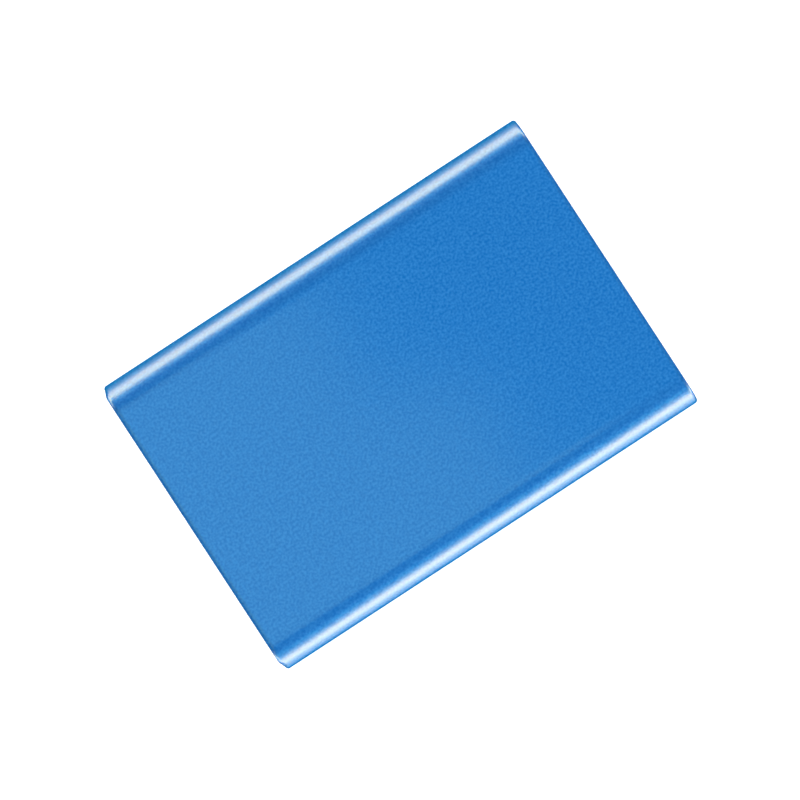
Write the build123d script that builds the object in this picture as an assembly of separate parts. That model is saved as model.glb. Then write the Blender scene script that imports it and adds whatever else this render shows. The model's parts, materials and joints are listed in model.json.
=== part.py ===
from build123d import *

import os
from math import acos, atan2, cos, degrees, radians, sin, sqrt

# Portable external hard drive in an extruded aluminium sleeve, in millimetres.
#
# +X runs along the sleeve towards the socket end, +Y across it and +Z up. The origin is the middle of
# the flat underside. A 2.5 inch disc drive lies on foam inside the sleeve and plugs into a small bridge
# board behind the front end cap. The drive's own pieces are drawn from the middle of its underside.

# Sleeve: an extrusion with flat top and bottom and oval sides.
WALL = 1.2
SIDE_MARGIN = 3.575  # from the drive's side to the widest point of the sleeve
SIDE_DEPTH = 7.75  # from the widest point to where the flat top starts
NOSE_FLATTENING = 1.3  # the side's nose radius is smaller than half the height by this
END_CHAMFER = 0.5

# Foam pads, which hold the drive clear of the sleeve.
LOWER_PAD = 2.0
UPPER_PAD = 1.9
PAD_LENGTH = 56.0
PAD_WIDTH = 46.0

# End caps: plates set into the sleeve and held by snap tongues.
CAP_THICKNESS = 1.8
CAP_RECESS = 0.4
CAP_CLEARANCE = 0.1
CAP_EDGE = 0.2  # chamfer round the outer face
TONGUE_LENGTH = 5.0
TONGUE_WIDTH = 8.0
TONGUE_THICKNESS = 0.9
TONGUE_SPREAD = 20.0  # between the two tongues on one face
HOOK_HEIGHT = 0.4
HOOK_LENGTH = 1.2
HOOK_CLEARANCE = 0.1

# Bridge board, between the drive and the front cap.
BRIDGE_BAY = 8.0  # from the drive's end to the cap
BOARD_GAP = 0.3
BOARD_WIDTH = 50.0
BOARD_CENTRE_Y = -4.8
BOARD_THICKNESS = 1.0
LEDGE_LENGTH = 5.6
LEDGE_WIDTH = 5.0
BOARD_SCREW_SPREAD = 44.6
BOARD_SCREW_FROM_CAP = 2.7
REAR_GAP = 0.25  # between the rear cap and the drive

# Cable socket: a wide slot for the data blade beside a narrow one for the fast pairs.
SOCKET_WIDE = 6.9
SOCKET_NARROW = 4.45
SOCKET_NECK = 0.9
SOCKET_TALL = 1.85
SOCKET_SHORT = 1.5
SOCKET_NECK_TALL = 0.9
SOCKET_BEVEL = 0.575
SOCKET_SHEET = 0.3
SOCKET_DEPTH = 5.6
SOCKET_BACK = 1.6  # thickness of the insulator behind the slots
SOCKET_SETBACK = 0.1  # from the cap's face to the rim
SOCKET_CLEARANCE = 0.12
SOCKET_TONGUE_THICKNESS = 0.5
SOCKET_TONGUE_SETBACK = 1.0
SOCKET_TONGUE_MARGIN = 0.6
SOCKET_PINS = 5
SOCKET_PIN_PITCH = 0.65
SOCKET_PIN_WIDTH = 0.3
SOCKET_PIN_THICKNESS = 0.12

# Status lamp and the light pipe in front of it.
LAMP_Y = 14.5
LAMP_SIZE = (0.8, 1.6, 0.9)
LAMP_SETBACK = 0.9  # from the cap to the lamp's face
PIPE_RADIUS = 0.9
PIPE_FLANGE_RADIUS = 1.3
PIPE_FLANGE = 0.5

# Parts on the bridge board.
BRIDGE_CHIP_SIZE = (5.0, 5.0, 0.8)
BRIDGE_CHIP_Y = 2.0
CRYSTAL_SIZE = (2.5, 3.2, 0.8)
CRYSTAL_Y = 10.2
CAPACITOR_SIZE = (1.25, 2.0, 0.9)
CAPACITOR_PITCH = 3.4
CAPACITOR_COUNT = 4
CAPACITOR_FIRST_Y = -9.5
PARTS_FROM_CAP = 2.4  # of the parts on top

# Serial drive connector: two keyed blades on the drive, slots for them on the bridge board.
PLUG_OFFSET_Y = -4.8  # the standard place, off the drive's centre line
SIGNAL_BLADE = 10.41
POWER_BLADE = 20.57
BLADE_SPACE = 2.41
BLADE_THICKNESS = 1.2
BLADE_LENGTH = 4.6
BLADE_KEY = 1.1
SIGNAL_PINS = 7
POWER_PINS = 15
PIN_PITCH = 1.27
PIN_WIDTH = 0.6
PIN_LENGTH = 3.4
PIN_THICKNESS = 0.06
PLUG_HEIGHT = 4.0
PLUG_BACK = 1.2
PLUG_POST = 1.4
PLUG_BAY = 6.0
RECEPTACLE_MARGIN = 1.1
RECEPTACLE_BODY = 3.3
RECEPTACLE_CLEARANCE = 0.15
SLOT_CLEARANCE = 0.15

# Disc pack and spindle motor.
PLATTER_RADIUS = 32.5
PLATTER_BORE_RADIUS = 10.0
PLATTER_THICKNESS = 0.65
HUB_FLANGE_RADIUS = 12.2
HUB_FLANGE = 0.6
HUB_SKIRT = 1.3
HUB_ROOF = 1.0
HUB_UNDERCUT = 0.25  # the hub's top sits this far under the top platter's face
ROTOR_MAGNET_THICKNESS = 1.0
ROTOR_MAGNET_HEIGHT = 1.5
ROTOR_FLATS = 24  # one for each pole
MOTOR_GAP = 0.4
STATOR_THICKNESS = 0.7
STATOR_TEETH = 9
STATOR_TOOTH_WIDTH = 1.1
STATOR_TIP_DEPTH = 0.7
STATOR_TIP_WIDTH = 3.4
STATOR_NECK_SIDE = 2.2  # the tip's width where it leaves the neck
COIL_THICKNESS = 0.3
BOSS_RADIUS = 4.0
BEARING_RADIUS = 3.0
SHAFT_RADIUS = 1.5
RUNNING_GAP = 0.05
CLAMP_THICKNESS = 0.5
CLAMP_RADIUS = 12.0
CLAMP_SCREW_HEAD_RADIUS = 2.6
CLAMP_SCREW_HEAD = 0.45
CLAMP_SCREW_RADIUS = 0.8
CLAMP_SCREW_LENGTH = 2.0

# Head stack.
FLY_GAP = 0.1  # between a slider and the platter
SLIDER_SIZE = (1.25, 1.0, 0.22)
SUSPENSION_THICKNESS = 0.1
SUSPENSION_ROOT_WIDTH = 4.6
SUSPENSION_TIP_WIDTH = 1.2
ARM_THICKNESS = 0.5
ARM_ROOT_WIDTH = 8.6
ARM_TIP_WIDTH = 4.6
ARM_REACH = 25.0
WINDOW_START = 8.5  # of the opening that lightens each arm
WINDOW_END = 19.0
WINDOW_ROOT_WIDTH = 4.6
WINDOW_TIP_WIDTH = 2.6
SUSPENSION_LAP = 3.0
HEAD_REACH = 38.5
TAB_LENGTH = 2.5  # the lift tab beyond the head, which rides on the ramp
TAB_WIDTH = 0.6
ARM_HUB_RADIUS = 5.4
PIVOT_BEARING_RADIUS = 4.0
PIVOT_SHAFT_RADIUS = 1.5
PIVOT_CLEAR = 10.5  # from the rim of the platters to the pivot
PIVOT_ANGLE = 20.0  # direction from the spindle to the pivot
PARK_OFFSET = 1.5  # from the rim of the platters to the parked heads
INNER_TRACK_RADIUS = 14.0

# Voice coil motor.
COIL_STANDOFF = 2.8  # from the arm block's hub to the coil
COIL_DEPTH = 7.4
COIL_HALF_ANGLE = 20.0
COIL_HEIGHT = 0.8
COIL_WINDING = 2.0
FORK_WIDTH = 1.3
YOKE_GAP = 0.3
YOKE_STANDOFF = 1.6  # from the arm block's hub to the yokes
YOKE_OVERHANG = 1.6  # past the coil
YOKE_MARGIN_ANGLE = 5.0
LOWER_YOKE_THICKNESS = 0.5
UPPER_YOKE_THICKNESS = 0.8
MAGNET_THICKNESS = 0.6
MAGNET_MARGIN = 0.9
YOKE_POST_RADIUS = 0.55
YOKE_POST_EDGE = 0.1  # from a post to the yoke's rim
YOKE_POST_ANGLE = 8.0  # from the yoke's ends to its posts
STOP_RADIUS = 1.2
STOP_REACH = 12.6
STOP_GAP = 0.3
VCM_GAP = 1.0  # from the yokes to the wall of their well

# Drive base, cover and seal.
FLOOR = 0.8
FLOOR_MARGIN = 0.2  # under the lowest arm
COVER_MARGIN = 0.72  # over the highest arm
SIDE_WALL = 1.525
DISC_GAP = 0.9
VCM_WALL = 0.818
WELL_GAP = 0.5  # from the parking ramp to the wall of the arms' fan-shaped well
WELL_BEFORE = 14.0  # how far the well runs past the arms at the inner tracks, in degrees
WELL_AFTER = 12.0  # and at the parking ramp
BASE_CORNER = 1.6
GASKET_THICKNESS = 0.3
GASKET_WIDTH = 0.9
GASKET_RUNS = 24  # straight runs that would go once round a well
COVER_THICKNESS = 0.5
COVER_INSET = 0.6
COVER_SCREW_INSET = 3.6
SCREW_RADIUS = 0.8
SCREW_HEAD_RADIUS = 1.6
SCREW_HEAD = 0.3
SCREW_LENGTH = 3.0
SMALL_SIDES = 8  # flats on screws, posts and small holes
BREATHER_RADIUS = 0.7
PIVOT_PAD = 1.0  # round the pivot shaft's foot
MOUNT_HOLE_RADIUS = 1.25
MOUNT_HOLE_DEPTH = 2.2
MOUNT_HOLE_HEIGHT = 3.0
MOUNT_SPACING_Y = 61.72
MOUNT_FIRST = 14.0  # from the connector end
MOUNT_SECOND = 90.6

# Drive board, in a recess under the base.
PCB_SETBACK = 0.2
PCB_THICKNESS = 0.8
PCB_WIDTH = 53.0
PCB_CLEARANCE = 0.4
CHIP_HEIGHT = 0.8
CHIP_CLEARANCE = 0.1
RECESS_FLOOR = 0.5  # metal between the recess and the motor's well
CONTROLLER_SIZE = 9.0
MEMORY_SIZE = (6.0, 8.0)
DRIVER_SIZE = 6.0
CHIP_ROW_X = 6.0  # from the recess's inner edge
CHIP_SPACE = 2.0
PCB_SCREW_INSET = 3.0
PCB_SCREW_LENGTH = 2.6
PCB_SCREW_FROM_END = 5.5
RECESS_FROM_HUB = 1.2

# Small pieces in the wells.
RAMP_HEAD_GAP = 0.4  # from the heads to the ramp
RAMP_WALL = 1.3
RAMP_SLOT = 0.4
RAMP_BEFORE = 5.5
RAMP_AFTER = 4.0
RAMP_DISC_GAP = 0.3
RAMP_OVER = 0.4  # material over the highest lift tab
FILTER_SIZE = (1.6, 6.0, 3.2)
FILTER_ANGLE = 33.0
FILTER_CLEAR = 5.0  # from the rim of the platters
FLEX_THICKNESS = 0.15
FLEX_HEIGHT = 2.4
FLEX_SWEEP = 70.0
FLEX_SPAN = 7.0
FLEX_OVER = 0.4  # over the floor
BRACKET_SIZE = (2.0, 5.0, 3.2)

# Heights in the drive, from its underside.
ARM_PITCH = FLY_GAP + SLIDER_SIZE[2] + SUSPENSION_THICKNESS
LOW_ARM = FLOOR + FLOOR_MARGIN
LOW_PLATTER = LOW_ARM + ARM_THICKNESS + ARM_PITCH
PLATTER_GAP = 2 * ARM_PITCH + ARM_THICKNESS
HIGH_PLATTER = LOW_PLATTER + PLATTER_THICKNESS + PLATTER_GAP
HIGH_ARM = HIGH_PLATTER + PLATTER_THICKNESS + ARM_PITCH
COVER_UNDER = HIGH_ARM + ARM_THICKNESS + COVER_MARGIN
BASE_TOP = COVER_UNDER - GASKET_THICKNESS
COVER_TOP = COVER_UNDER + COVER_THICKNESS
DRIVE_HEIGHT = COVER_TOP + SCREW_HEAD
PCB_TOP = PCB_SETBACK + PCB_THICKNESS
RECESS_TOP = PCB_TOP + CHIP_HEIGHT + CHIP_CLEARANCE
YOKE_SEAT = RECESS_TOP + RECESS_FLOOR
LOWER_YOKE_TOP = YOKE_SEAT + LOWER_YOKE_THICKNESS
COIL_BOTTOM = LOWER_YOKE_TOP + YOKE_GAP
COIL_TOP = COIL_BOTTOM + COIL_HEIGHT
MAGNET_BOTTOM = COIL_TOP + YOKE_GAP
MAGNET_TOP = MAGNET_BOTTOM + MAGNET_THICKNESS
UPPER_YOKE_TOP = MAGNET_TOP + UPPER_YOKE_THICKNESS
BLADE_MIDDLE = PCB_TOP + PLUG_HEIGHT / 2

# Voice coil motor, from the pivot outwards.
COIL_INNER = ARM_HUB_RADIUS + COIL_STANDOFF
COIL_OUTER = COIL_INNER + COIL_DEPTH
YOKE_INNER = ARM_HUB_RADIUS + YOKE_STANDOFF
YOKE_OUTER = COIL_OUTER + YOKE_OVERHANG
VCM_RADIUS = YOKE_OUTER + VCM_GAP
FORK_HALF_ANGLE = COIL_HALF_ANGLE + degrees(FORK_WIDTH / COIL_INNER)
TIP_REACH = HEAD_REACH + TAB_LENGTH
WELL_RADIUS = TIP_REACH + RAMP_WALL + WELL_GAP

# Plan of the drive, from its middle. These add up to the 2.5 inch form factor, 100.35 by 69.85.
DISC_WELL_RADIUS = PLATTER_RADIUS + DISC_GAP
PIVOT_DISTANCE = PLATTER_RADIUS + PIVOT_CLEAR
TO_PIVOT = (PIVOT_DISTANCE * cos(radians(PIVOT_ANGLE)), PIVOT_DISTANCE * sin(radians(PIVOT_ANGLE)))
DRIVE_WIDTH = 2 * (max(DISC_WELL_RADIUS, TO_PIVOT[1] + VCM_RADIUS) + SIDE_WALL)
SPINDLE_FROM_END = DISC_WELL_RADIUS + SIDE_WALL
DRIVE_LENGTH = SPINDLE_FROM_END + TO_PIVOT[0] + VCM_RADIUS + VCM_WALL + PLUG_BAY
SPINDLE = (SPINDLE_FROM_END - DRIVE_LENGTH / 2, 0.0)
PIVOT = (SPINDLE[0] + TO_PIVOT[0], SPINDLE[1] + TO_PIVOT[1])
PLUG_BACK_X = DRIVE_LENGTH / 2 - PLUG_BAY
RECESS_START = PIVOT[0] + ARM_HUB_RADIUS + RECESS_FROM_HUB


def arm_direction(track_radius):
    """Direction of the arms from the pivot, in degrees, with the heads at that radius on the discs."""
    cosine = PIVOT_DISTANCE**2 + HEAD_REACH**2 - track_radius**2
    cosine = cosine / (2 * PIVOT_DISTANCE * HEAD_REACH)
    return 180 + PIVOT_ANGLE + degrees(acos(cosine))


PARK_DIRECTION = arm_direction(PLATTER_RADIUS + PARK_OFFSET)
INNER_DIRECTION = arm_direction(INNER_TRACK_RADIUS)
SWING = PARK_DIRECTION - INNER_DIRECTION
COIL_DIRECTION = PARK_DIRECTION - 180  # at rest, with the heads parked

# Overall sizes of the sleeve, and where the drive lies in it.
SLEEVE_WIDTH = DRIVE_WIDTH + 2 * SIDE_MARGIN
SLEEVE_HEIGHT = 2 * WALL + LOWER_PAD + COVER_TOP + UPPER_PAD
CAP_SPACE = CAP_RECESS + CAP_THICKNESS
SLEEVE_LENGTH = 2 * CAP_SPACE + REAR_GAP + DRIVE_LENGTH + BRIDGE_BAY
MID_HEIGHT = SLEEVE_HEIGHT / 2
CAP_INNER_X = SLEEVE_LENGTH / 2 - CAP_SPACE
DRIVE_Z = WALL + LOWER_PAD
DRIVE_X = -CAP_INNER_X + REAR_GAP + DRIVE_LENGTH / 2
DRIVE_END_X = DRIVE_X + DRIVE_LENGTH / 2
BOARD_TOP = DRIVE_Z + BLADE_MIDDLE - PLUG_HEIGHT / 2
BOARD_BOTTOM = BOARD_TOP - BOARD_THICKNESS
SOCKET_Z = BOARD_TOP + SOCKET_SHEET + SOCKET_TALL / 2
SOCKET_FRONT_X = CAP_INNER_X + CAP_THICKNESS - SOCKET_SETBACK
IN_DRIVE = Pos(DRIVE_X, 0, DRIVE_Z)


# Helpers.


def block(x, y, z):
    """A box between the given (low, high) pairs."""
    size = Box(x[1] - x[0], y[1] - y[0], z[1] - z[0], align=(Align.MIN,) * 3)
    return Pos(x[0], y[0], z[0]) * size


def prism(outline, low, high):
    """A flat outline raised from one height to another."""
    return extrude(Pos(0, 0, low) * outline, high - low, dir=(0, 0, 1))


def run(plane, outline, length):
    """An outline drawn on a plane, run out of it."""
    return extrude(plane * outline, length, dir=plane.z_dir)


def facing_end(x, y, z):
    """An upright plane that faces the socket end, with its own axes across and up."""
    return Plane((x, y, z), x_dir=(0, 1, 0), z_dir=(1, 0, 0))


def group(shapes):
    """Separate solids kept as one node."""
    return Compound([shape.solid() for shape in shapes])


def disc(radius, low, high, at=(0.0, 0.0)):
    return prism(Pos(*at) * Circle(radius), low, high)


def small(radius, low, high, at=(0.0, 0.0)):
    """A screw, hole or post that is too small to need a true round."""
    return prism(Pos(*at) * RegularPolygon(radius, SMALL_SIDES), low, high)


def ring(outer, inner, low, high, at=(0.0, 0.0)):
    return prism(Pos(*at) * (Circle(outer) - Circle(inner)), low, high)


def polar(centre, reach, direction):
    """The point at that distance and direction, in degrees, from the centre."""
    angle = radians(direction)
    return (centre[0] + reach * cos(angle), centre[1] + reach * sin(angle))


def sector(inner, outer, first, last):
    """A ring segment about the origin, between two directions in degrees."""
    middle = (first + last) / 2
    here = (0.0, 0.0)
    edges = [
        Line(polar(here, inner, first), polar(here, outer, first)),
        ThreePointArc(*(polar(here, outer, a) for a in (first, middle, last))),
        Line(polar(here, outer, last), polar(here, inner, last)),
        ThreePointArc(*(polar(here, inner, a) for a in (last, middle, first))),
    ]
    return make_face(Curve() + edges)


def taper(start, end, start_width, end_width):
    """A straight-sided tongue along +X from one reach to another."""
    low_side = [(start, -start_width / 2), (end, -end_width / 2)]
    high_side = [(end, end_width / 2), (start, start_width / 2)]
    return Polygon(*low_side, *high_side, align=None)


def screw(radius, length, head_radius, head):
    """A flat-headed screw pointing down, with its head seated on z = 0."""
    return small(radius, -length, 0) + small(head_radius, 0, head)


def spread(count, pitch):
    """Places of a row of that many things about zero."""
    return [(k - (count - 1) / 2) * pitch for k in range(count)]


# Enclosure.


def oval(inset=0.0):
    """The sleeve's section, moved inwards by the inset, in the YZ plane about its middle."""
    half_width = SLEEVE_WIDTH / 2 - inset
    half_height = SLEEVE_HEIGHT / 2 - inset
    depth = SIDE_DEPTH - inset
    flat = half_width - depth
    nose = half_height - NOSE_FLATTENING
    shoulder = (depth**2 + half_height**2 - 2 * depth * nose) / (2 * NOSE_FLATTENING)
    lean = atan2(depth - nose, shoulder - half_height)  # from upright, where the two arcs meet
    shoulder_z = half_height - shoulder
    half_lean = (flat + shoulder * sin(lean / 2), shoulder_z + shoulder * cos(lean / 2))
    meet = (flat + shoulder * sin(lean), shoulder_z + shoulder * cos(lean))
    side = [
        ThreePointArc((flat, half_height), half_lean, meet),
        ThreePointArc(meet, (half_width, 0), (meet[0], -meet[1])),
        ThreePointArc((meet[0], -meet[1]), (half_lean[0], -half_lean[1]), (flat, -half_height)),
    ]
    other_side = [edge.mirror(Plane.YZ) for edge in side]
    flats = [Line((-flat, z), (flat, z)) for z in (half_height, -half_height)]
    return make_face(Curve() + side + other_side + flats)


def oval_bar(inset, x_low, x_high):
    """The oval section run along X, with its middle at the sleeve's mid height."""
    return run(facing_end(x_low, 0, MID_HEIGHT), oval(inset), x_high - x_low)


def tongue_places():
    """Each snap tongue as (y, facing), facing 1 for the top wall and -1 for the bottom wall."""
    return [(y, facing) for y in spread(2, TONGUE_SPREAD) for facing in (1, -1)]


def sleeve():
    half = SLEEVE_LENGTH / 2
    tube = oval_bar(0, -half, half)
    rims = tube.faces().filter_by(Axis.X).edges()
    tube = chamfer(rims, END_CHAMFER) - oval_bar(WALL, -half, half)
    hook_middle = CAP_INNER_X - TONGUE_LENGTH + HOOK_LENGTH / 2
    pocket = Box(
        HOOK_LENGTH + 2 * HOOK_CLEARANCE,
        TONGUE_WIDTH + 2 * HOOK_CLEARANCE,
        2 * (HOOK_HEIGHT - CAP_CLEARANCE + HOOK_CLEARANCE),
    )
    for end in (1, -1):
        for y, facing in tongue_places():
            tube -= Pos(end * hook_middle, y, MID_HEIGHT + facing * (MID_HEIGHT - WALL)) * pocket
    return tube


def cap_blank():
    """The plate and snap tongues that both end caps share, at the front end."""
    plate = oval_bar(WALL + CAP_CLEARANCE, CAP_INNER_X, CAP_INNER_X + CAP_THICKNESS)
    plate = chamfer(plate.faces().sort_by(Axis.X)[-1].edges(), CAP_EDGE)
    reach = SLEEVE_HEIGHT / 2 - WALL - CAP_CLEARANCE  # from mid height to a tongue's outer face
    tip = CAP_INNER_X - TONGUE_LENGTH
    side_view = Polygon(
        (CAP_INNER_X, reach - TONGUE_THICKNESS),
        (CAP_INNER_X, reach),
        (tip + HOOK_LENGTH, reach),
        (tip + HOOK_LENGTH, reach + HOOK_HEIGHT),
        (tip + HOOK_LENGTH / 2, reach + HOOK_HEIGHT),
        (tip, reach),
        (tip, reach - TONGUE_THICKNESS),
        align=None,
    )
    for y, facing in tongue_places():
        turned = side_view if facing == 1 else mirror(side_view, Plane.XZ)
        plane = Plane((0, y + TONGUE_WIDTH / 2, MID_HEIGHT), x_dir=(1, 0, 0), z_dir=(0, -1, 0))
        plate += run(plane, turned, TONGUE_WIDTH)
    return plate


def board_screw_places():
    x = CAP_INNER_X - BOARD_SCREW_FROM_CAP
    return [(x, BOARD_CENTRE_Y + y) for y in spread(2, BOARD_SCREW_SPREAD)]


def front_end_cap():
    cap = cap_blank()
    for x, y in board_screw_places():
        cap += block(
            (CAP_INNER_X - LEDGE_LENGTH, CAP_INNER_X),
            (y - LEDGE_WIDTH / 2, y + LEDGE_WIDTH / 2),
            (WALL + CAP_CLEARANCE, BOARD_BOTTOM),
        )
        cap -= small(SCREW_RADIUS, WALL, BOARD_BOTTOM, (x, y))
    cap -= run(socket_plane(CAP_INNER_X), socket_outline(SOCKET_SHEET + SOCKET_CLEARANCE), CAP_THICKNESS)
    return cap - run(lamp_plane(CAP_INNER_X), Circle(PIPE_RADIUS), CAP_THICKNESS)


def rear_end_cap():
    return Rot(0, 0, 180) * cap_blank()


def foam_pad(low, high):
    return prism(Pos(DRIVE_X + SPINDLE[0], 0) * Rectangle(PAD_LENGTH, PAD_WIDTH), low, high)


def lower_foam_pad():
    return foam_pad(WALL, DRIVE_Z)


def upper_foam_pad():
    return foam_pad(DRIVE_Z + COVER_TOP, SLEEVE_HEIGHT - WALL)


def lamp_plane(x):
    """An upright plane at x, facing out of the socket end, centred on the status lamp."""
    return facing_end(x, LAMP_Y, BOARD_TOP + LAMP_SIZE[2] / 2)


def light_pipe():
    rod = run(lamp_plane(CAP_INNER_X), Circle(PIPE_RADIUS), CAP_THICKNESS)
    shoulder = RegularPolygon(PIPE_FLANGE_RADIUS, SMALL_SIDES)
    return rod + run(lamp_plane(CAP_INNER_X - PIPE_FLANGE), shoulder, PIPE_FLANGE)


# Bridge board.


def bridge_board():
    board = block(
        (DRIVE_END_X + BOARD_GAP, CAP_INNER_X - CAP_CLEARANCE),
        (BOARD_CENTRE_Y - BOARD_WIDTH / 2, BOARD_CENTRE_Y + BOARD_WIDTH / 2),
        (BOARD_BOTTOM, BOARD_TOP),
    )
    notch_x = (CAP_INNER_X - PIPE_FLANGE - CAP_CLEARANCE, CAP_INNER_X)
    across = PIPE_FLANGE_RADIUS + CAP_CLEARANCE
    board -= block(notch_x, (LAMP_Y - across, LAMP_Y + across), (BOARD_BOTTOM, BOARD_TOP))
    for place in board_screw_places():
        board -= small(SCREW_RADIUS, BOARD_BOTTOM, BOARD_TOP, place)
    return board


def board_screws():
    length = BOARD_TOP - WALL - CAP_CLEARANCE
    one = screw(SCREW_RADIUS, length, SCREW_HEAD_RADIUS, SCREW_HEAD)
    return group([Pos(x, y, BOARD_TOP) * one for x, y in board_screw_places()])


def socket_plane(x):
    """An upright plane at x, facing out of the socket end, centred on the socket."""
    return facing_end(x, 0, SOCKET_Z)


def socket_columns():
    """Across the socket: the wide slot's two sides, then the narrow slot's two sides."""
    left = -(SOCKET_WIDE + SOCKET_NECK + SOCKET_NARROW) / 2
    return (left, left + SOCKET_WIDE, left + SOCKET_WIDE + SOCKET_NECK, -left)


def socket_outline(sheet=0.0):
    """The socket's mouth, grown by the thickness of its sheet."""
    wide_left, wide_right, narrow_left, narrow_right = socket_columns()
    top = SOCKET_TALL / 2
    low = -top
    mouth = Polygon(
        (wide_left, top),
        (narrow_right, top),
        (narrow_right, top - SOCKET_SHORT),
        (narrow_left, top - SOCKET_SHORT),
        (narrow_left, top - SOCKET_NECK_TALL),
        (wide_right, top - SOCKET_NECK_TALL),
        (wide_right, low + SOCKET_BEVEL),
        (wide_right - SOCKET_BEVEL, low),
        (wide_left + SOCKET_BEVEL, low),
        (wide_left, low + SOCKET_BEVEL),
        align=None,
    )
    return offset(mouth, sheet, kind=Kind.INTERSECTION) if sheet else mouth


def socket_shell():
    back = socket_plane(SOCKET_FRONT_X - SOCKET_DEPTH)
    return run(back, socket_outline(SOCKET_SHEET) - socket_outline(), SOCKET_DEPTH)


def socket_tongues():
    """Each tongue in the socket as (middle, width), across the socket."""
    wide_left, wide_right, narrow_left, narrow_right = socket_columns()
    slots = [(wide_left, wide_right), (narrow_left, narrow_right)]
    return [((a + b) / 2, b - a - 2 * SOCKET_TONGUE_MARGIN) for a, b in slots]


def socket_insulator():
    back = SOCKET_FRONT_X - SOCKET_DEPTH
    body = run(socket_plane(back), socket_outline(), SOCKET_BACK)
    length = SOCKET_DEPTH - SOCKET_BACK - SOCKET_TONGUE_SETBACK
    for middle, width in socket_tongues():
        section = Pos(middle, SOCKET_TONGUE_THICKNESS / 2) * Rectangle(width, SOCKET_TONGUE_THICKNESS)
        body += run(socket_plane(back + SOCKET_BACK), section, length)
    return body


def socket_contacts():
    start = SOCKET_FRONT_X - SOCKET_DEPTH + SOCKET_BACK
    length = SOCKET_DEPTH - SOCKET_BACK - SOCKET_TONGUE_SETBACK
    pins = []
    for middle, _ in socket_tongues():
        for y in spread(SOCKET_PINS, SOCKET_PIN_PITCH):
            section = Rectangle(SOCKET_PIN_WIDTH, SOCKET_PIN_THICKNESS, align=(Align.CENTER, Align.MAX))
            pins.append(run(socket_plane(start), Pos(middle + y, 0) * section, length))
    return group(pins)


def on_board(size, x, y):
    """A boxed part standing on the bridge board."""
    return Pos(x, y, BOARD_TOP) * Box(*size, align=(Align.CENTER, Align.CENTER, Align.MIN))


def bridge_chip():
    x = (DRIVE_END_X + CAP_INNER_X) / 2
    package = Box(*BRIDGE_CHIP_SIZE, align=(Align.CENTER, Align.CENTER, Align.MAX))
    return Pos(x, BRIDGE_CHIP_Y, BOARD_BOTTOM) * package


def crystal():
    return on_board(CRYSTAL_SIZE, CAP_INNER_X - PARTS_FROM_CAP, CRYSTAL_Y)


def board_capacitors():
    places = [CAPACITOR_FIRST_Y - k * CAPACITOR_PITCH for k in range(CAPACITOR_COUNT)]
    return group([on_board(CAPACITOR_SIZE, CAP_INNER_X - PARTS_FROM_CAP, y) for y in places])


def status_lamp():
    return on_board(LAMP_SIZE, CAP_INNER_X - LAMP_SETBACK - LAMP_SIZE[0] / 2, LAMP_Y)


def blade_spans():
    """The (low, high) span across the drive of the power blade and the signal blade."""
    left = PLUG_OFFSET_Y - (POWER_BLADE + BLADE_SPACE + SIGNAL_BLADE) / 2
    right = left + POWER_BLADE + BLADE_SPACE
    return [(left, left + POWER_BLADE), (right, right + SIGNAL_BLADE)]


def blade_section(grow=0.0):
    """Both keyed blades seen end on, about their middle height, grown by a clearance."""
    section = Sketch()
    for low, high in blade_spans():
        half = BLADE_THICKNESS / 2
        keyed = Polygon(
            (low, -half),
            (high, -half),
            (high, half),
            (low + BLADE_THICKNESS, half),
            (low + BLADE_THICKNESS, half + BLADE_KEY),
            (low, half + BLADE_KEY),
            align=None,
        )
        section += offset(keyed, grow, kind=Kind.INTERSECTION) if grow else keyed
    return section


def pin_row(x_low, x_high, z_low, z_high):
    """One strip for each contact of both blades."""
    pins = []
    for (low, high), count in zip(blade_spans(), (POWER_PINS, SIGNAL_PINS)):
        middle = (low + BLADE_THICKNESS + high) / 2
        for y in spread(count, PIN_PITCH):
            across = (middle + y - PIN_WIDTH / 2, middle + y + PIN_WIDTH / 2)
            pins.append(block((x_low, x_high), across, (z_low, z_high)))
    return group(pins)


def connector_span(margin):
    """The (low, high) span of both blades, widened by a margin."""
    spans = blade_spans()
    return (spans[0][0] - margin, spans[1][1] + margin)


def receptacle_nose_x():
    """Where the receptacle's nose ends, just short of the plug's back wall."""
    return DRIVE_END_X - PLUG_BAY + PLUG_BACK + RECEPTACLE_CLEARANCE


def slot_depth():
    return BLADE_LENGTH + SLOT_CLEARANCE


def drive_receptacle():
    nose = receptacle_nose_x()
    back = DRIVE_END_X + RECEPTACLE_BODY
    across = connector_span(RECEPTACLE_MARGIN)
    body = block((nose, back), across, (BOARD_TOP, BOARD_TOP + PLUG_HEIGHT))
    step = block((nose, DRIVE_END_X + BOARD_GAP), across, (BOARD_TOP, BOARD_TOP + RECEPTACLE_CLEARANCE))
    slots = run(facing_end(nose, 0, DRIVE_Z + BLADE_MIDDLE), blade_section(SLOT_CLEARANCE), slot_depth())
    return body - step - slots


def receptacle_contacts():
    """Springs along the inner half of the slots' lower faces, just under the blades' contacts."""
    low = DRIVE_Z + BLADE_MIDDLE - BLADE_THICKNESS / 2 - SLOT_CLEARANCE
    back = receptacle_nose_x() + slot_depth()
    return pin_row(back - slot_depth() / 2, back, low, low + PIN_THICKNESS)


# Drive: base, cover and seal.


def arms_wedge():
    """A long triangle from the pivot over the directions that the arms' well spans."""
    here = (0.0, 0.0)
    first = polar(here, 2 * WELL_RADIUS, INNER_DIRECTION - WELL_BEFORE)
    last = polar(here, 2 * WELL_RADIUS, PARK_DIRECTION + WELL_AFTER)
    return Polygon(here, first, last, align=None)


def wells(plan=Circle):
    """Plan of the base's cavity: the round disc well, the motor's well and the arms' fan."""
    about_pivot = plan(VCM_RADIUS) + (plan(WELL_RADIUS) & arms_wedge())
    return Pos(*SPINDLE) * plan(DISC_WELL_RADIUS) + Pos(*PIVOT) * about_pivot


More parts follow.
